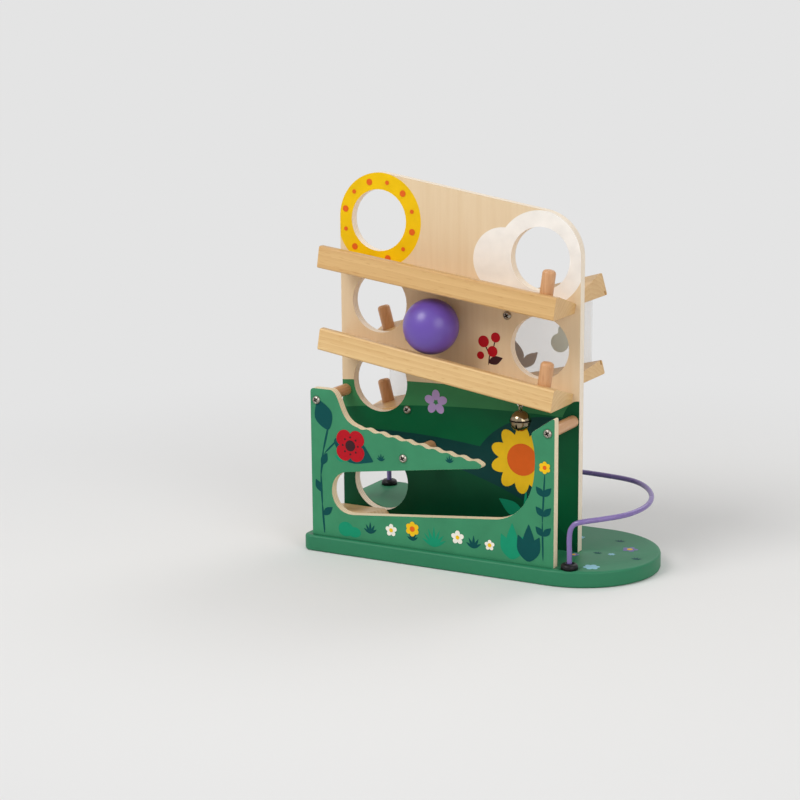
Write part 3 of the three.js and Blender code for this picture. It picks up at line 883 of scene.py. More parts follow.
def shown_copy(name: str, bevel_mm: float = 0.0, sharp: float = SAWN_EDGE) -> bpy.types.Object:
    """Makes the shown piece of a CAD node, with its edges eased.

    Args:
        name: CAD node.
        bevel_mm: radius given to every edge sharper than the angle.
        sharp: angle in degrees past which an edge counts as sharp.

    Returns:
        The new object, riding on the node's body in the node's place.
    """
    source = frame["nodes"][name]
    bm = bmesh.new()
    bm.from_mesh(source.data)
    bmesh.ops.remove_doubles(bm, verts=bm.verts, dist=WELD)
    limit = math.radians(sharp)
    if bevel_mm:
        bmesh.ops.dissolve_limit(
            bm,
            angle_limit=math.radians(FLAT_ANGLE),
            use_dissolve_boundaries=False,
            verts=bm.verts,
            edges=bm.edges,
            delimit=set(),
        )
        edges = [e for e in bm.edges if e.is_manifold and e.calc_face_angle(0.0) > limit]
        bmesh.ops.bevel(
            bm,
            geom=edges,
            offset=bevel_mm * MM,
            offset_type="OFFSET",
            segments=2,
            profile=0.5,
            affect="EDGES",
            clamp_overlap=True,
            material=-1,
        )
    piece = finish_piece(bm, f"{name}_shown", (name,), sharp)
    level = piece.modifiers.new("level_flats", "WEIGHTED_NORMAL")
    level.keep_sharp = True
    return piece


def finish_piece(
    bm: bmesh.types.BMesh, title: str, nodes: tuple[str, ...], sharp: float = SAWN_EDGE
) -> bpy.types.Object:
    """Turns a bmesh into an object that stands for CAD nodes.

    Args:
        bm: the shape, in the part's frame; it is freed.
        title: object name.
        nodes: CAD nodes that the piece stands for; the first gives its body.
        sharp: angle in degrees past which shading stays sharp.

    Returns:
        The new object.
    """
    mesh = bpy.data.meshes.new(title)
    bm.to_mesh(mesh)
    bm.free()
    mesh.shade_smooth()
    mesh.set_sharp_from_angle(angle=math.radians(sharp))
    piece = bpy.data.objects.new(title, mesh)
    bpy.context.scene.collection.objects.link(piece)
    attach(piece, frame["nodes"][nodes[0]]["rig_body"])
    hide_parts(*nodes)
    LOG.info("piece %s stands for %s", title, ", ".join(nodes))
    return piece


def coat(piece: bpy.types.Object, finish: Finish) -> bpy.types.Object:
    """Gives a piece one finish.

    Args:
        piece: object to be dressed; it loses the materials that it has.
        finish: finish of the whole piece.

    Returns:
        The same object.
    """
    piece.data.materials.clear()
    piece.data.materials.append(finish.material())
    return piece


# A screw's head: share of its radius past which its rim lies, share within which its cross lies, and
# the cross's depth below the top of the head in millimetres.
SCREW_RIM = 0.9
SCREW_CROSS = 0.7
CROSS_DEPTH_MM = (0.35, 2.2)


def screw(name: str) -> bpy.types.Object:
    """Shows a plated screw with painted shade in the cross of its head.

    Args:
        name: CAD node of the screw, which points along Y; the end with the wide rim is its head.

    Returns:
        The new object with two finishes.
    """
    piece = coat(shown_copy(name), SCREW_STEEL)
    piece.data.materials.append(CROSS_PAINTED_SHADE.material())
    low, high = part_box(name)
    wide = (high - low) / 2
    middle = (low + high) / 2

    def from_axis(point: Vector) -> float:
        """Distance of a point from the screw's axis, as a share of the head's radius."""
        return math.hypot(point.x - middle.x, point.z - middle.z) / wide.x

    rim = [v.co.y for v in piece.data.vertices if from_axis(v.co) > SCREW_RIM]
    head_front = sum(rim) / len(rim) < middle.y
    top = low.y if head_front else high.y
    shallow, deep = CROSS_DEPTH_MM
    # Faces down in the cross get the painted shade.
    for face in piece.data.polygons:
        sunk_mm = abs(face.center.y - top) / MM
        if from_axis(face.center) < SCREW_CROSS and shallow < sunk_mm < deep:
            face.material_index = 1
    return piece


# Turns a motif's plane, u to the right and v up, to face the front or the rear.
FACING_FRONT = Matrix(((1, 0, 0, 0), (0, 0, -1, 0), (0, 1, 0, 0), (0, 0, 0, 1)))
FACING_REAR = Matrix(((-1, 0, 0, 0), (0, 0, 1, 0), (0, 1, 0, 0), (0, 0, 0, 1)))


@dataclass
class Ink:
    """One printed colour on one face: a thin layer that gathers motif shapes."""

    title: str
    face: Face
    finish: Paint
    slot_node: str
    layer: int = 0
    layer_mm: float = 0.1
    film_mm: float = 0.04
    step_mm: float = 0.004
    steps: int = 19
    count: int = 0
    shapes: bmesh.types.BMesh = field(default_factory=bmesh.new)

    def next_step(self) -> float:
        """Height of the next shape over the film, so that shapes that cross never share a level."""
        self.count += 1
        return self.step_mm * (self.count % self.steps)

    def disc(
        self, u: float, v: float, across: float, high: float, turn: float = 0.0, points: int = 28
    ) -> None:
        """Adds a filled ellipse.

        Args:
            u: place along the face, millimetres.
            v: place up the face, millimetres.
            across: half width.
            high: half height.
            turn: anticlockwise turn in degrees.
            points: corners of the outline.
        """
        made = bmesh.ops.create_circle(self.shapes, cap_ends=True, segments=points, radius=1.0)
        size = Matrix.Diagonal((across, high, 1.0, 1.0))
        spin = Matrix.Rotation(math.radians(turn), 4, "Z")
        move = Matrix.Translation((u, v, self.next_step()))
        bmesh.ops.transform(self.shapes, matrix=move @ spin @ size, verts=made["verts"])

    def leaf(self, u: float, v: float, long: float, wide: float, turn: float) -> None:
        """Adds a leaf that starts at a point and runs along its turn.

        Args:
            u: stalk end along the face, millimetres.
            v: stalk end up the face, millimetres.
            long: length.
            wide: greatest width.
            turn: direction in degrees from the face's u axis.
        """
        made = bmesh.ops.create_circle(self.shapes, cap_ends=True, segments=26, radius=1.0)
        # Both ends narrow to a point, and the outer half is slimmer than the half at the stalk.
        for vert in made["verts"]:
            vert.co.y *= 1.0 - 0.55 * abs(vert.co.x) ** 1.6 - 0.18 * vert.co.x
        size = Matrix.Diagonal((long / 2, wide / 2, 1.0, 1.0))
        ahead = Matrix.Translation((long / 2, 0.0, 0.0))
        spin = Matrix.Rotation(math.radians(turn), 4, "Z")
        move = Matrix.Translation((u, v, self.next_step()))
        bmesh.ops.transform(self.shapes, matrix=move @ spin @ ahead @ size, verts=made["verts"])

    def stalk(self, points: list[tuple[float, float]], wide: float) -> None:
        """Adds a line of even width through points, as a chain of short bars.

        Args:
            points: places on the face, millimetres.
            wide: width of the line.
        """
        for (u0, v0), (u1, v1) in zip(points, points[1:]):
            long = math.hypot(u1 - u0, v1 - v0)
            turn = math.degrees(math.atan2(v1 - v0, u1 - u0))
            self.disc((u0 + u1) / 2, (v0 + v1) / 2, long / 2 + 0.45 * wide, wide / 2, turn, 16)

    def petals(
        self, u: float, v: float, count: int, reach: float, wide: float, start: float = 90.0
    ) -> None:
        """Adds a ring of petals, each an ellipse that ends at the reach.

        Args:
            u: middle along the face, millimetres.
            v: middle up the face, millimetres.
            count: number of petals.
            reach: length from the middle to a petal's tip.
            wide: width of a petal.
            start: direction of the first petal in degrees.
        """
        for i in range(count):
            turn = start + 360.0 * i / count
            mid = 0.58 * reach
            cu = u + mid * math.cos(math.radians(turn))
            cv = v + mid * math.sin(math.radians(turn))
            self.disc(cu, cv, 0.42 * reach, wide / 2, turn, 20)

    def tuft(self, u: float, v: float, long: float, blades: int = 3, spread: float = 62.0) -> None:
        """Adds a fan of narrow leaves that share a root.

        Args:
            u: root along the face, millimetres.
            v: root up the face, millimetres.
            long: length of the middle leaf.
            blades: number of leaves.
            spread: angle between the outer leaves in degrees.
        """
        for i in range(blades):
            t = i / max(1, blades - 1) - 0.5
            self.leaf(u, v, long * (1.0 - 0.5 * abs(t)), long / (blades - 0.2), 90.0 + spread * t)

    def lay(self) -> bpy.types.Object:
        """Gives the layer its film thickness and moves it onto its face.

        Returns:
            The printed piece.
        """
        bm = self.shapes
        made = bmesh.ops.extrude_face_region(bm, geom=list(bm.faces))
        raised = [g for g in made["geom"] if isinstance(g, bmesh.types.BMVert)]
        bmesh.ops.translate(bm, verts=raised, vec=(0.0, 0.0, self.film_mm))
        bmesh.ops.recalc_face_normals(bm, faces=bm.faces)
        lift = self.film_mm + self.layer * self.layer_mm
        to_face = {
            Face.BOARD_FRONT: Matrix.Translation((0.0, -lift, 0.0)) @ FACING_FRONT,
            Face.BOARD_REAR: Matrix.Translation((0.0, BOARD_THICK + lift, 0.0)) @ FACING_REAR,
            Face.PANEL_FRONT: Matrix.Translation((0.0, PANEL_FRONT_Y - lift, 0.0)) @ FACING_FRONT,
            Face.BASE_TOP: Matrix.Translation((0.0, 0.0, lift)),
            Face.SHEET_REAR: Matrix.Translation((0.0, SHEET_REAR_Y + lift, 0.0)) @ FACING_REAR,
        }[self.face]
        whole = Matrix.Scale(MM, 4) @ Matrix.Translation(SHIFT) @ to_face
        bmesh.ops.transform(bm, matrix=whole, verts=bm.verts)
        mesh = bpy.data.meshes.new(self.title)
        bm.to_mesh(mesh)
        bm.free()
        piece = bpy.data.objects.new(self.title, mesh)
        bpy.context.scene.collection.objects.link(piece)
        coat(piece, self.finish)
        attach(piece, "stand")
        LOG.info("print %s", self.title)
        return piece


def ink_finish(name: str, colour: str) -> Paint:
    """A screen-printing ink: matt and even, a little cloudy where it soaked into the wood.

    Args:
        name: name of the material.
        colour: sRGB hex colour.

    Returns:
        The finish.
    """
    return Paint(
        name,
        colour=colour,
        roughness=0.5,
        peel=0.03,
        mottle_mm=6.0,
        mottle=0.07,
        coat=0.0,
        gloss=0.15,
    )


# Screen-printing inks: flat, even colours that stand out from the wood without a shine.
INK_TEAL = ink_finish("ink_teal", "#004a4a")
INK_LEAF = ink_finish("ink_leaf_green", "#12906a")
INK_WHITE = ink_finish("ink_white", "#f0ece0")
INK_YELLOW = ink_finish("ink_yellow", "#efc01c")
INK_ORANGE = ink_finish("ink_orange", "#e0631c")
INK_RED = ink_finish("ink_red", "#b20f1f")
INK_DARK = ink_finish("ink_dark_brown", "#3a1d22")
INK_LILAC = ink_finish("ink_lilac", "#b79cd0")
INK_VIOLET = ink_finish("ink_violet", "#7d76aa")
INK_SKY = ink_finish("ink_sky_blue", "#8fc2d2")
INK_SLATE = ink_finish("ink_slate", "#b5aeb3")
INK_SAGE = ink_finish("ink_sage", "#dcebe4")


@dataclass
class BoardAssembly:
    """The upright printed board; the middle of its large flower is given along u and v."""

    ease_mm: float = 0.5
    spot_count: int = 12
    spot_ring: float = 36.0
    spot_sizes: tuple[float, float] = (2.0, 3.0)
    bloom: tuple[float, float] = (66.0, 80.0)

    def build(self) -> None:
        """Shows the board and lays its prints."""
        coat(shown_copy("centre_board", self.ease_mm), BIRCH_BOARD)
        self.print_marks()
        self.print_meadow()
        self.print_rear()

    def ring_of_spots(self, ink: Ink, u: float, v: float) -> None:
        """Adds large and small spots in turn round a hole's ring.

        Args:
            ink: layer that gets the spots.
            u: middle of the ring along the face, millimetres.
            v: middle of the ring up the face, millimetres.
        """
        for i in range(self.spot_count):
            turn = 2 * math.pi * (i + 0.5) / self.spot_count
            wide = self.spot_sizes[i % 2]
            along = u + self.spot_ring * math.cos(turn)
            up = v + self.spot_ring * math.sin(turn)
            ink.disc(along, up, wide, wide)

    def print_marks(self) -> None:
        """Orange spots round the yellow ring, the large flower's eye and a sprig of red berries."""
        orange = Ink("board_print_orange", Face.BOARD_FRONT, INK_ORANGE, "centre_board", layer=2)
        self.ring_of_spots(orange, *SUN_HOLE)
        orange.disc(*self.bloom, 15.0, 15.0)
        orange.lay()
        red = Ink("board_print_red", Face.BOARD_FRONT, INK_RED, "centre_board", layer=1)
        berries = (
            (27.0, 186.0, 5.4),
            (39.0, 190.5, 4.6),
            (36.0, 177.5, 5.0),
            (24.0, 173.0, 3.6),
        )
        for u, v, r in berries:
            red.disc(u, v, r, r)
        red.lay()
        dark = Ink("board_print_brown", Face.BOARD_FRONT, INK_DARK, "centre_board")
        dark.stalk([(32.0, 165.0), (33.0, 174.0), (27.0, 186.0)], 1.2)
        dark.stalk([(33.0, 172.0), (37.0, 181.0), (39.0, 190.0)], 1.2)
        dark.leaf(32.0, 167.0, 15.0, 8.0, 20.0)
        dark.lay()

    def print_meadow(self) -> None:
        """A large yellow flower and a lilac one on the hills."""
        yellow = Ink("board_print_yellow", Face.BOARD_FRONT, INK_YELLOW, "centre_board", layer=1)
        yellow.petals(*self.bloom, 10, 32.0, 15.0)
        yellow.lay()
        lilac = Ink("board_print_lilac", Face.BOARD_FRONT, INK_LILAC, "centre_board")
        lilac.petals(-22.0, 125.0, 5, 12.0, 8.0)
        lilac.lay()
        leaf = Ink("board_print_leaf", Face.BOARD_FRONT, INK_LEAF, "centre_board")
        leaf.stalk([self.bloom, (70.0, 50.0), (68.0, 22.0), (70.0, 4.0)], 3.0)
        leaf.leaf(69.0, 34.0, 34.0, 15.0, 35.0)
        leaf.leaf(69.0, 26.0, 30.0, 13.0, 150.0)
        leaf.lay()

    def print_rear(self) -> None:
        """Spots, a leafy plant and flowers on the rear, in places as they are seen from behind."""
        teal = Ink("rear_print_teal", Face.BOARD_REAR, INK_TEAL, "centre_board")
        teal.stalk([(-12.0, 3.0), (-10.0, 42.0), (-13.0, 84.0)], 2.4)
        for v, turn in ((20.0, 28.0), (43.0, 40.0), (64.0, 54.0)):
            teal.leaf(-11.0, v, 37.0, 17.0, turn)
            teal.leaf(-11.0, v, 37.0, 17.0, 180.0 - turn)
        teal.leaf(-13.0, 80.0, 34.0, 16.0, 92.0)
        teal.stalk([(-84.0, 3.0), (-87.0, 50.0), (-84.0, 90.0)], 1.8)
        teal.stalk([(-72.0, 3.0), (-68.0, 34.0), (-66.0, 66.0)], 1.6)
        for u, v, turn in ((-86.0, 26.0, 130.0), (-87.0, 48.0, 52.0), (-69.0, 30.0, 40.0)):
            teal.leaf(u, v, 18.0, 9.0, turn)
        teal.lay()
        leaf = Ink("rear_print_leaf", Face.BOARD_REAR, INK_LEAF, "centre_board")
        for u, long, blades in ((-106.0, 26.0, 3), (-48.0, 16.0, 5), (34.0, 22.0, 5)):
            leaf.tuft(u, 3.0, long, blades, 84.0)
        leaf.lay()
        red = Ink("rear_print_red", Face.BOARD_REAR, INK_RED, "centre_board", layer=1)
        tall, low = (-84.0, 92.0), (-66.0, 68.0)
        red.petals(*tall, 6, 14.0, 9.6)
        red.petals(*low, 5, 9.0, 7.0)
        red.lay()
        daisies = ((-36.0, 28.0), (44.0, 86.0))
        yellow = Ink("rear_print_yellow", Face.BOARD_REAR, INK_YELLOW, "centre_board", layer=2)
        yellow.disc(*tall, 4.4, 4.4)
        yellow.disc(*low, 2.9, 2.9)
        for middle in daisies:
            yellow.disc(*middle, 1.9, 1.9)
        yellow.lay()
        white = Ink("rear_print_white", Face.BOARD_REAR, INK_WHITE, "centre_board", layer=1)
        for middle in daisies:
            white.petals(*middle, 5, 6.0, 4.5)
        white.lay()
        orange = Ink("rear_print_orange", Face.BOARD_REAR, INK_ORANGE, "centre_board", layer=2)
        self.ring_of_spots(orange, -SUN_HOLE[0], SUN_HOLE[1])
        orange.lay()


@dataclass
class PanelAssembly:
    """The green front panel, its spacer dowels and their screws; flowers are given along u and v."""

    ease_mm: float = 0.5
    dowel_ease_mm: float = 0.4
    poppy: tuple[float, float] = (-82.0, 89.0)
    poppy_seeds: int = 8
    seed_ring: float = 8.0
    daisies: tuple[tuple[float, float, float], ...] = (
        (-40.0, 14.0, 6.0),
        (28.0, 16.0, 6.5),
        (60.0, 13.0, 5.0),
    )
    marigold: tuple[float, float] = (-18.0, 18.0)
    post_flower: tuple[float, float] = (113.0, 90.0)

    def build(self) -> None:
        """Shows the panel, dowels and screws and lays the prints."""
        coat(shown_copy("front_panel", self.ease_mm), GREEN_PANEL)
        for side in ("left", "middle", "right"):
            coat(shown_copy(f"{side}_dowel", self.dowel_ease_mm), DOWEL_BEECH)
            screw(f"panel_screw_{side}")
            screw(f"dowel_screw_{side}")
        self.print_plants()
        self.print_blooms()

    def print_plants(self) -> None:
        """Teal stalks and leaves, and bright rounded bushes."""
        teal = Ink("panel_print_teal", Face.PANEL_FRONT, INK_TEAL, "front_panel", layer=1)
        climber = [(-111.0, 3.0), (-113.0, 30.0), (-114.0, 58.0), (-111.0, 82.0), (-105.0, 106.0)]
        teal.stalk(climber, 2.0)
        teal.stalk([(-113.6, 62.0), (-109.0, 80.0), (-97.0, 92.0)], 1.6)
        for u, v, turn in ((-112.0, 20.0, 40.0), (-113.5, 42.0, 118.0), (-113.0, 68.0, 62.0)):
            teal.leaf(u, v, 13.0, 7.0, turn)
        teal.leaf(-99.0, 93.0, 44.0, 25.0, -22.0)
        teal.leaf(-105.0, 102.0, 30.0, 19.0, 112.0)
        tufts = (
            (-62.0, 8.0, 11.0),
            (-18.0, 7.0, 9.0),
            (44.0, 8.0, 12.0),
            (20.0, 84.0, 7.0),
            (-50.0, 78.0, 7.0),
        )
        for u, v, long in tufts:
            teal.tuft(u, v, long, 5, 112.0)
        teal.tuft(98.0, 3.0, 34.0, 3, 48.0)
        teal.stalk([(112.0, 6.0), (111.0, 40.0), (113.0, 84.0)], 1.6)
        for v in (28.0, 46.0, 64.0):
            teal.leaf(112.0, v, 11.0, 6.0, 48.0)
            teal.leaf(112.0, v, 11.0, 6.0, 132.0)
        teal.lay()
        leaf = Ink("panel_print_leaf", Face.PANEL_FRONT, INK_LEAF, "front_panel")
        for u, v, a, h in ((-88.0, 9.0, 8.0, 7.0), (-79.0, 7.0, 7.0, 5.0)):
            leaf.disc(u, v, a, h)
        leaf.tuft(4.0, 4.0, 19.0, 7, 120.0)
        leaf.tuft(82.0, 3.0, 33.0, 3, 52.0)
        leaf.tuft(-92.0, 73.0, 12.0, 5, 100.0)
        leaf.lay()

    def print_blooms(self) -> None:
        """A poppy on its leaf and a row of small flowers."""
        red = Ink("panel_print_red", Face.PANEL_FRONT, INK_RED, "front_panel", layer=2)
        red.petals(*self.poppy, 4, 17.0, 16.5, 45.0)
        red.lay()
        dark = Ink("panel_print_brown", Face.PANEL_FRONT, INK_DARK, "front_panel", layer=3)
        u, v = self.poppy
        dark.disc(u, v, 5.2, 5.2)
        for i in range(self.poppy_seeds):
            turn = 2 * math.pi * i / self.poppy_seeds
            along = u + self.seed_ring * math.cos(turn)
            up = v + self.seed_ring * math.sin(turn)
            dark.disc(along, up, 1.0, 1.0, 0.0, 10)
        dark.lay()
        white = Ink("panel_print_white", Face.PANEL_FRONT, INK_WHITE, "front_panel", layer=2)
        for u, v, r in self.daisies:
            white.petals(u, v, 5, r, 0.75 * r)
        white.lay()
        yellow = Ink("panel_print_yellow", Face.PANEL_FRONT, INK_YELLOW, "front_panel", layer=3)
        yellow.petals(*self.marigold, 6, 7.0, 5.4)
        yellow.petals(*self.post_flower, 6, 5.6, 4.2)
        for u, v, _ in self.daisies:
            yellow.disc(u, v, 1.9, 1.9)
        yellow.lay()
        orange = Ink("panel_print_orange", Face.PANEL_FRONT, INK_ORANGE, "front_panel", layer=4)
        orange.disc(*self.marigold, 2.6, 2.6)
        orange.disc(*self.post_flower, 1.9, 1.9)
        orange.lay()


@dataclass
class TrackAssembly:
    """Four sloping tracks with their pegs and screws, and the clear panel.

    Each bar has its slope in degrees and its own light and dark tone. The heart of its rings lies
    below it; the pairs hold the first bar's offset to its heart and the step to the next bar's.
    """

    ease_mm: float = 0.8
    sheet_ease_mm: float = 0.3
    ring_mm: float = 4.4
    ring_share: float = 0.34
    heart_y: tuple[float, float] = (24.0, -16.0)
    heart_z: tuple[float, float] = (-30.0, -9.0)
    bars: tuple[tuple[str, float, str, str], ...] = (
        ("upper_front", 7.9, "#dfb87c", "#c08c4e"),
        ("lower_front", 9.1, "#e8c58b", "#cb9a5c"),
        ("upper_rear", -15.7, "#e0bb82", "#c39155"),
        ("lower_rear", -14.0, "#e4c088", "#c7965a"),
    )

    def build(self) -> None:
        """Shows each track with grain along its length."""
        for i, (name, slope, light, dark) in enumerate(self.bars):
            low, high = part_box(f"{name}_track")
            turned = Euler((0.0, -math.radians(slope), 0.0)).to_matrix() @ ((low + high) / 2 / MM)
            heart_y = turned.y + self.heart_y[0] + self.heart_y[1] * i
            heart_z = turned.z + self.heart_z[0] + self.heart_z[1] * i
            # Planed pine: honey yellow, with close straight rings along the slope.
            pine = Timber(
                f"sanded_pine_{name}",
                light=light,
                dark=dark,
                slope=slope,
                heart=(turned.x, heart_y, heart_z),
                ring_mm=self.ring_mm,
                ring_share=self.ring_share,
            )
            coat(shown_copy(f"{name}_track", self.ease_mm), pine)
            coat(shown_copy(f"{name}_peg"), PEG_BEECH)
            for side in ("left", "right"):
                screw(f"{name}_screw_{side}")
        coat(shown_copy("clear_panel", self.sheet_ease_mm), ACRYLIC)
        self.print_sheet()

    def print_sheet(self) -> None:
        """Plain leaves, spots and a flower on the rear of the clear sheet, as seen from behind."""
        slate = Ink("sheet_print_slate", Face.SHEET_REAR, INK_SLATE, "clear_panel")
        leaves = (
            (-34.0, 152.0, 26.0, 76.0),
            (-36.0, 152.0, 22.0, 136.0),
            (30.0, 140.0, 22.0, 80.0),
        )
        for u, v, long, turn in leaves:
            slate.leaf(u, v, long, 0.5 * long, turn)
        slate.lay()
        sage = Ink("sheet_print_sage", Face.SHEET_REAR, INK_SAGE, "clear_panel")
        spots = (
            (-74.0, 178.0, 9.0),
            (-80.0, 189.0, 8.0),
            (0.0, 165.0, 9.0),
            (64.0, 128.0, 9.0),
        )
        for u, v, r in spots:
            sage.disc(u, v, r, r)
        sage.lay()
        red = Ink("sheet_print_red", Face.SHEET_REAR, INK_RED, "clear_panel")
        flower = (15.0, 179.0)
        red.petals(*flower, 5, 9.0, 7.0)
        red.lay()
        white = Ink("sheet_print_white", Face.SHEET_REAR, INK_WHITE, "clear_panel", layer=1)
        for u, v, r in ((46.0, 160.0, 7.0), (38.0, 166.0, 5.0), (*flower, 2.4)):
            white.disc(u, v, r, r)
        white.lay()


@dataclass
class BaseAssembly:
    """The round-ended base with the kick block and the exit ramp.

    A violet flower has its place, the reach of its petals and the size of its yellow eye.
    """

    ease_mm: float = 0.8
    violets: tuple[tuple[float, float, float, float], ...] = (
        (160.0, 30.0, 7.5, 2.6),
        (60.0, 45.0, 7.0, 2.4),
        (121.0, -8.0, 5.0, 1.8),
    )

    def build(self) -> None:
        """Shows the base and what stands on it, and lays its prints."""
        coat(shown_copy("base_board"), BASE_LACQUER)
        coat(shown_copy("kick_block", self.ease_mm), BLOCK_PINE)
        coat(shown_copy("exit_ramp", self.ease_mm), RAMP_LACQUER)
        violet = Ink("base_print_violet", Face.BASE_TOP, INK_VIOLET, "base_board")
        for u, v, reach, _ in self.violets:
            violet.petals(u, v, 5, reach, 0.7 * reach)
        violet.lay()
        sky = Ink("base_print_sky", Face.BASE_TOP, INK_SKY, "base_board")
        for u, v, r in ((150.0, -36.0, 7.5), (151.0, 8.0, 3.4), (104.0, 46.0, 5.0)):
            sky.petals(u, v, 6, r, 0.7 * r)
            sky.disc(u, v, 0.3 * r, 0.3 * r)
        sky.lay()
        yellow = Ink("base_print_yellow", Face.BASE_TOP, INK_YELLOW, "base_board", layer=1)
        for u, v, _, eye in self.violets:
            yellow.disc(u, v, eye, eye)
        yellow.lay()
        teal = Ink("base_print_teal", Face.BASE_TOP, INK_TEAL, "base_board")
        tufts = (
            (176.0, 2.0, 8.0),
            (142.0, 48.0, 8.0),
            (138.0, 4.0, 7.0),
            (20.0, 36.0, 8.0),
            (96.0, 34.0, 9.0),
        )
        for u, v, long in tufts:
            teal.tuft(u, v, long, 5, 112.0)
        teal.lay()


@dataclass
class FenceAssembly:
    """The bent rod and its rubber feet; the swell makes up for what rounding takes off."""

    swell_mm: float = 0.14
    levels: int = 2
    foot_edge: float = 50.0

    def build(self) -> None:
        """Shows the rod smoothly round, with its grommets."""
        source = frame["nodes"]["rod_fence"]
        bm = bmesh.new()
        bm.from_mesh(source.data)
        bmesh.ops.remove_doubles(bm, verts=bm.verts, dist=WELD)
        bmesh.ops.recalc_face_normals(bm, faces=bm.faces)
        bm.normal_update()
        for vert in bm.verts:
            vert.co += vert.normal * self.swell_mm * MM
        rod = coat(finish_piece(bm, "rod_fence_shown", ("rod_fence",), ROUND_EDGE), ROD_LACQUER)
        smooth = rod.modifiers.new("round", "SUBSURF")
        smooth.levels = self.levels
        smooth.render_levels = self.levels
        for foot in ("front_grommet", "rear_grommet"):
            coat(shown_copy(foot, sharp=self.foot_edge), GROMMET_RUBBER)


@dataclass
class BellAssembly:
    """The bell, its loop and eye screw.

    Polished nickel over brass on the shell: warm dark reflections, small bright highlights and a
    dark line of painted shade in the seam.
    """

    # The shell's warm brass tone, darkened to paint dark reflections of the surroundings.
    colour: str = "#9d8e75"
    roughness: float = 0.12
    seam_mm: float = 1.3
    eye_edge: float = 60.0
    shell_edge: float = 40.0

    def build(self) -> None:
        """Shows the plated bell, eye and pellet."""
        coat(shown_copy("bell_eye_screw", sharp=self.eye_edge), NICKEL)
        shell = shown_copy("bell_shell", sharp=self.shell_edge)
        low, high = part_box("bell_shell")
        middle = (low + high) / 2

        def from_axis(corner: bpy.types.MeshVertex) -> float:
            """Distance of a corner from the upright axis; the seam lies where it is largest."""
            return math.hypot(corner.co.x - middle.x, corner.co.y - middle.y)

        seam = max(shell.data.vertices, key=from_axis)
        plate = Plated(
            "polished_nickel_bell",
            colour=self.colour,
            roughness=self.roughness,
            seam_z=seam.co.z / MM,
            seam_mm=self.seam_mm,
        )
        coat(shell, plate)
        coat(shown_copy("bell_pellet", sharp=ROUND_EDGE), NICKEL)


@dataclass
class RollingBall:
    """The lacquered wooden ball; it lies with its poles, which are cut a little flat, turned aside."""

    segments: int = 64
    rings: int = 40
    pole_cut_mm: float = 0.05
    tilt: float = 64.0
    turn: float = 35.0

    def build(self) -> None:
        """Turns the ball with the small flats that a lathe leaves at its poles."""
        low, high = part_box("ball")
        radius = (high.x - low.x) / 2
        bm = bmesh.new()
        bmesh.ops.create_uvsphere(bm, u_segments=self.segments, v_segments=self.rings, radius=radius)
        tip = radius - self.pole_cut_mm * MM
        for vert in bm.verts:
            vert.co.z = max(-tip, min(tip, vert.co.z))
        lie = Euler((math.radians(self.tilt), 0.0, math.radians(self.turn)))
        spin = lie.to_matrix().to_4x4()
        move = Matrix.Translation((low + high) / 2)
        bmesh.ops.transform(bm, matrix=move @ spin, verts=bm.verts)
        coat(finish_piece(bm, "ball_shown", ("ball",), ROUND_EDGE), BALL_LACQUER)


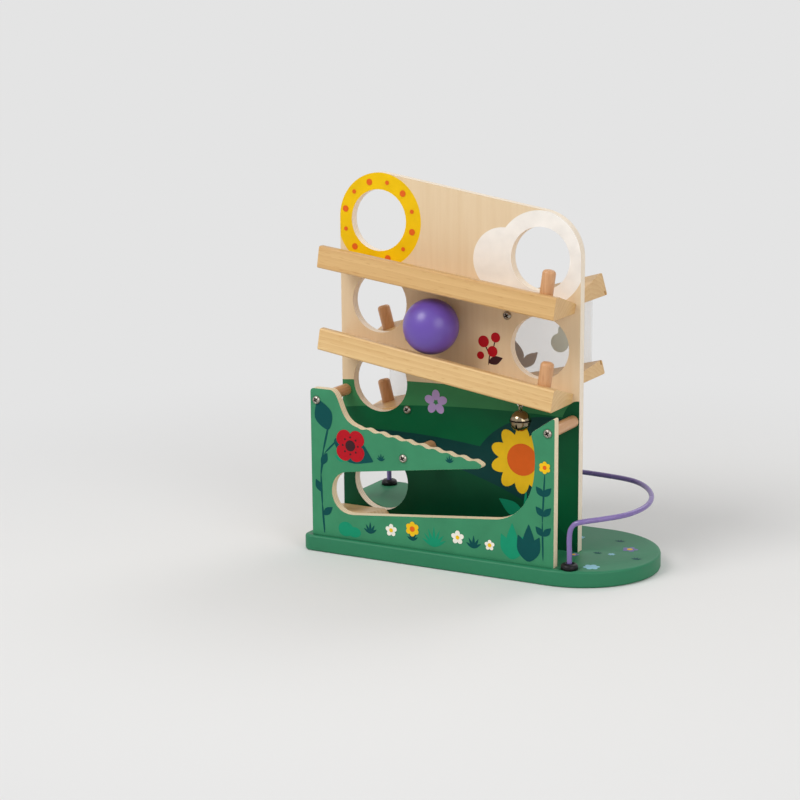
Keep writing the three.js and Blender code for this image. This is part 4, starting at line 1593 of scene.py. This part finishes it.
@dataclass
class Studio:
    """Pale floor with a curved rise, soft lamps and the camera.

    The floor and lamps are in metres and watts. The camera's eye is in millimetres of the board's
    frame, its turns are in radians and its focal length is in pixels of the photograph.
    """

    reach: float = 4.0
    rise: float = 3.0
    curve: float = 1.5
    curve_steps: int = 16
    lamps: tuple[tuple[str, tuple[float, float, float], float, float], ...] = (
        ("key", (-0.9, -1.6, 1.9), 1.3, 30.0),
        ("fill", (1.7, -1.0, 1.0), 1.4, 11.5),
        ("back", (0.4, 1.6, 1.8), 1.2, 10.0),
    )
    aim: tuple[float, float, float] = (0.0, 0.0, 0.16)
    sky_colour: str = "#f2f3f5"
    sky_level: float = 0.5
    focal_px: float = 1878.46
    image_px: float = 800.0
    sensor: float = 36.0
    clip: tuple[float, float] = (0.05, 50.0)
    eye: tuple[float, float, float] = (760.71, -1507.86, 486.11)
    yaw: float = 0.4983
    pitch: float = -0.2081
    roll: float = -0.0084

    def build(self) -> None:
        """Makes the floor, the lamps, the world and the camera."""
        self.lay_floor()
        self.hang_lamps()
        self.set_camera()
        bpy.context.scene.view_settings.view_transform = "Standard"

    def lay_floor(self) -> None:
        """Makes a floor that curves up far behind the object."""
        bm = bmesh.new()
        bmesh.ops.create_grid(bm, x_segments=1, y_segments=1, size=self.reach)
        back = [e for e in bm.edges if all(v.co.y > 0.0 for v in e.verts)]
        risen = bmesh.ops.extrude_edge_only(bm, edges=back)
        tops = [g for g in risen["geom"] if isinstance(g, bmesh.types.BMVert)]
        bmesh.ops.translate(bm, verts=tops, vec=(0.0, 0.0, self.rise))
        bmesh.ops.bevel(
            bm,
            geom=back,
            offset=self.curve,
            offset_type="OFFSET",
            segments=self.curve_steps,
            profile=0.5,
            affect="EDGES",
            clamp_overlap=True,
            material=-1,
        )
        mesh = bpy.data.meshes.new("studio_floor")
        bm.to_mesh(mesh)
        bm.free()
        mesh.shade_smooth()
        floor = bpy.data.objects.new("studio_floor", mesh)
        bpy.context.scene.collection.objects.link(floor)
        coat(floor, STUDIO_PAPER)
        LOG.info("stage studio_floor")

    def hang_lamps(self) -> None:
        """Adds a large soft key, a fill and a back lamp, and a pale world."""
        for name, spot, size, power in self.lamps:
            data = bpy.data.lights.new(f"{name}_lamp", "AREA")
            data.shape = "DISK"
            data.size = size
            data.energy = power
            lamp = bpy.data.objects.new(f"{name}_lamp", data)
            lamp.location = spot
            beam = Vector(self.aim) - Vector(spot)
            lamp.rotation_euler = beam.to_track_quat("-Z", "Y").to_euler()
            bpy.context.scene.collection.objects.link(lamp)
        world = bpy.data.worlds.new("studio_world")
        world.use_nodes = True
        tree = world.node_tree
        tree.nodes.clear()
        light = {"Color": linear(self.sky_colour), "Strength": self.sky_level}
        sky = node(tree, "ShaderNodeBackground", light)
        seen = {"Color": linear(STUDIO_PAPER.far_colour), "Strength": 1.0}
        backdrop = node(tree, "ShaderNodeBackground", seen)
        looked_at = {0: seen_rays(tree), 1: sky.outputs[0], 2: backdrop.outputs[0]}
        mixed = node(tree, "ShaderNodeMixShader", looked_at)
        node(tree, "ShaderNodeOutputWorld", {"Surface": mixed.outputs[0]})
        bpy.context.scene.world = world

    def set_camera(self) -> None:
        """Stands the camera where the photograph was taken from."""
        ahead = Vector(
            (
                -math.sin(self.yaw) * math.cos(self.pitch),
                math.cos(self.yaw) * math.cos(self.pitch),
                math.sin(self.pitch),
            )
        )
        side = Vector((math.cos(self.yaw), math.sin(self.yaw), 0.0))
        up = side.cross(ahead)
        right = math.cos(self.roll) * side + math.sin(self.roll) * up
        top = -math.sin(self.roll) * side + math.cos(self.roll) * up
        turn = Matrix((right, top, -ahead)).transposed().to_4x4()
        data = bpy.data.cameras.new("photo_camera")
        data.sensor_width = self.sensor
        data.lens = self.focal_px * self.sensor / self.image_px
        data.clip_start, data.clip_end = self.clip
        camera = bpy.data.objects.new("photo_camera", data)
        camera.matrix_world = Matrix.Translation(place(*self.eye)) @ turn
        bpy.context.scene.collection.objects.link(camera)
        bpy.context.scene.camera = camera


def main() -> None:
    """Builds every sub-assembly in order and then the studio."""
    logging.basicConfig(level=logging.INFO)
    assemblies = (
        BaseAssembly(),
        BoardAssembly(),
        PanelAssembly(),
        TrackAssembly(),
        FenceAssembly(),
        BellAssembly(),
        RollingBall(),
        Studio(),
    )
    for assembly in assemblies:
        LOG.info("building %s", type(assembly).__name__)
        assembly.build()


if __name__ == "__main__":
    main()
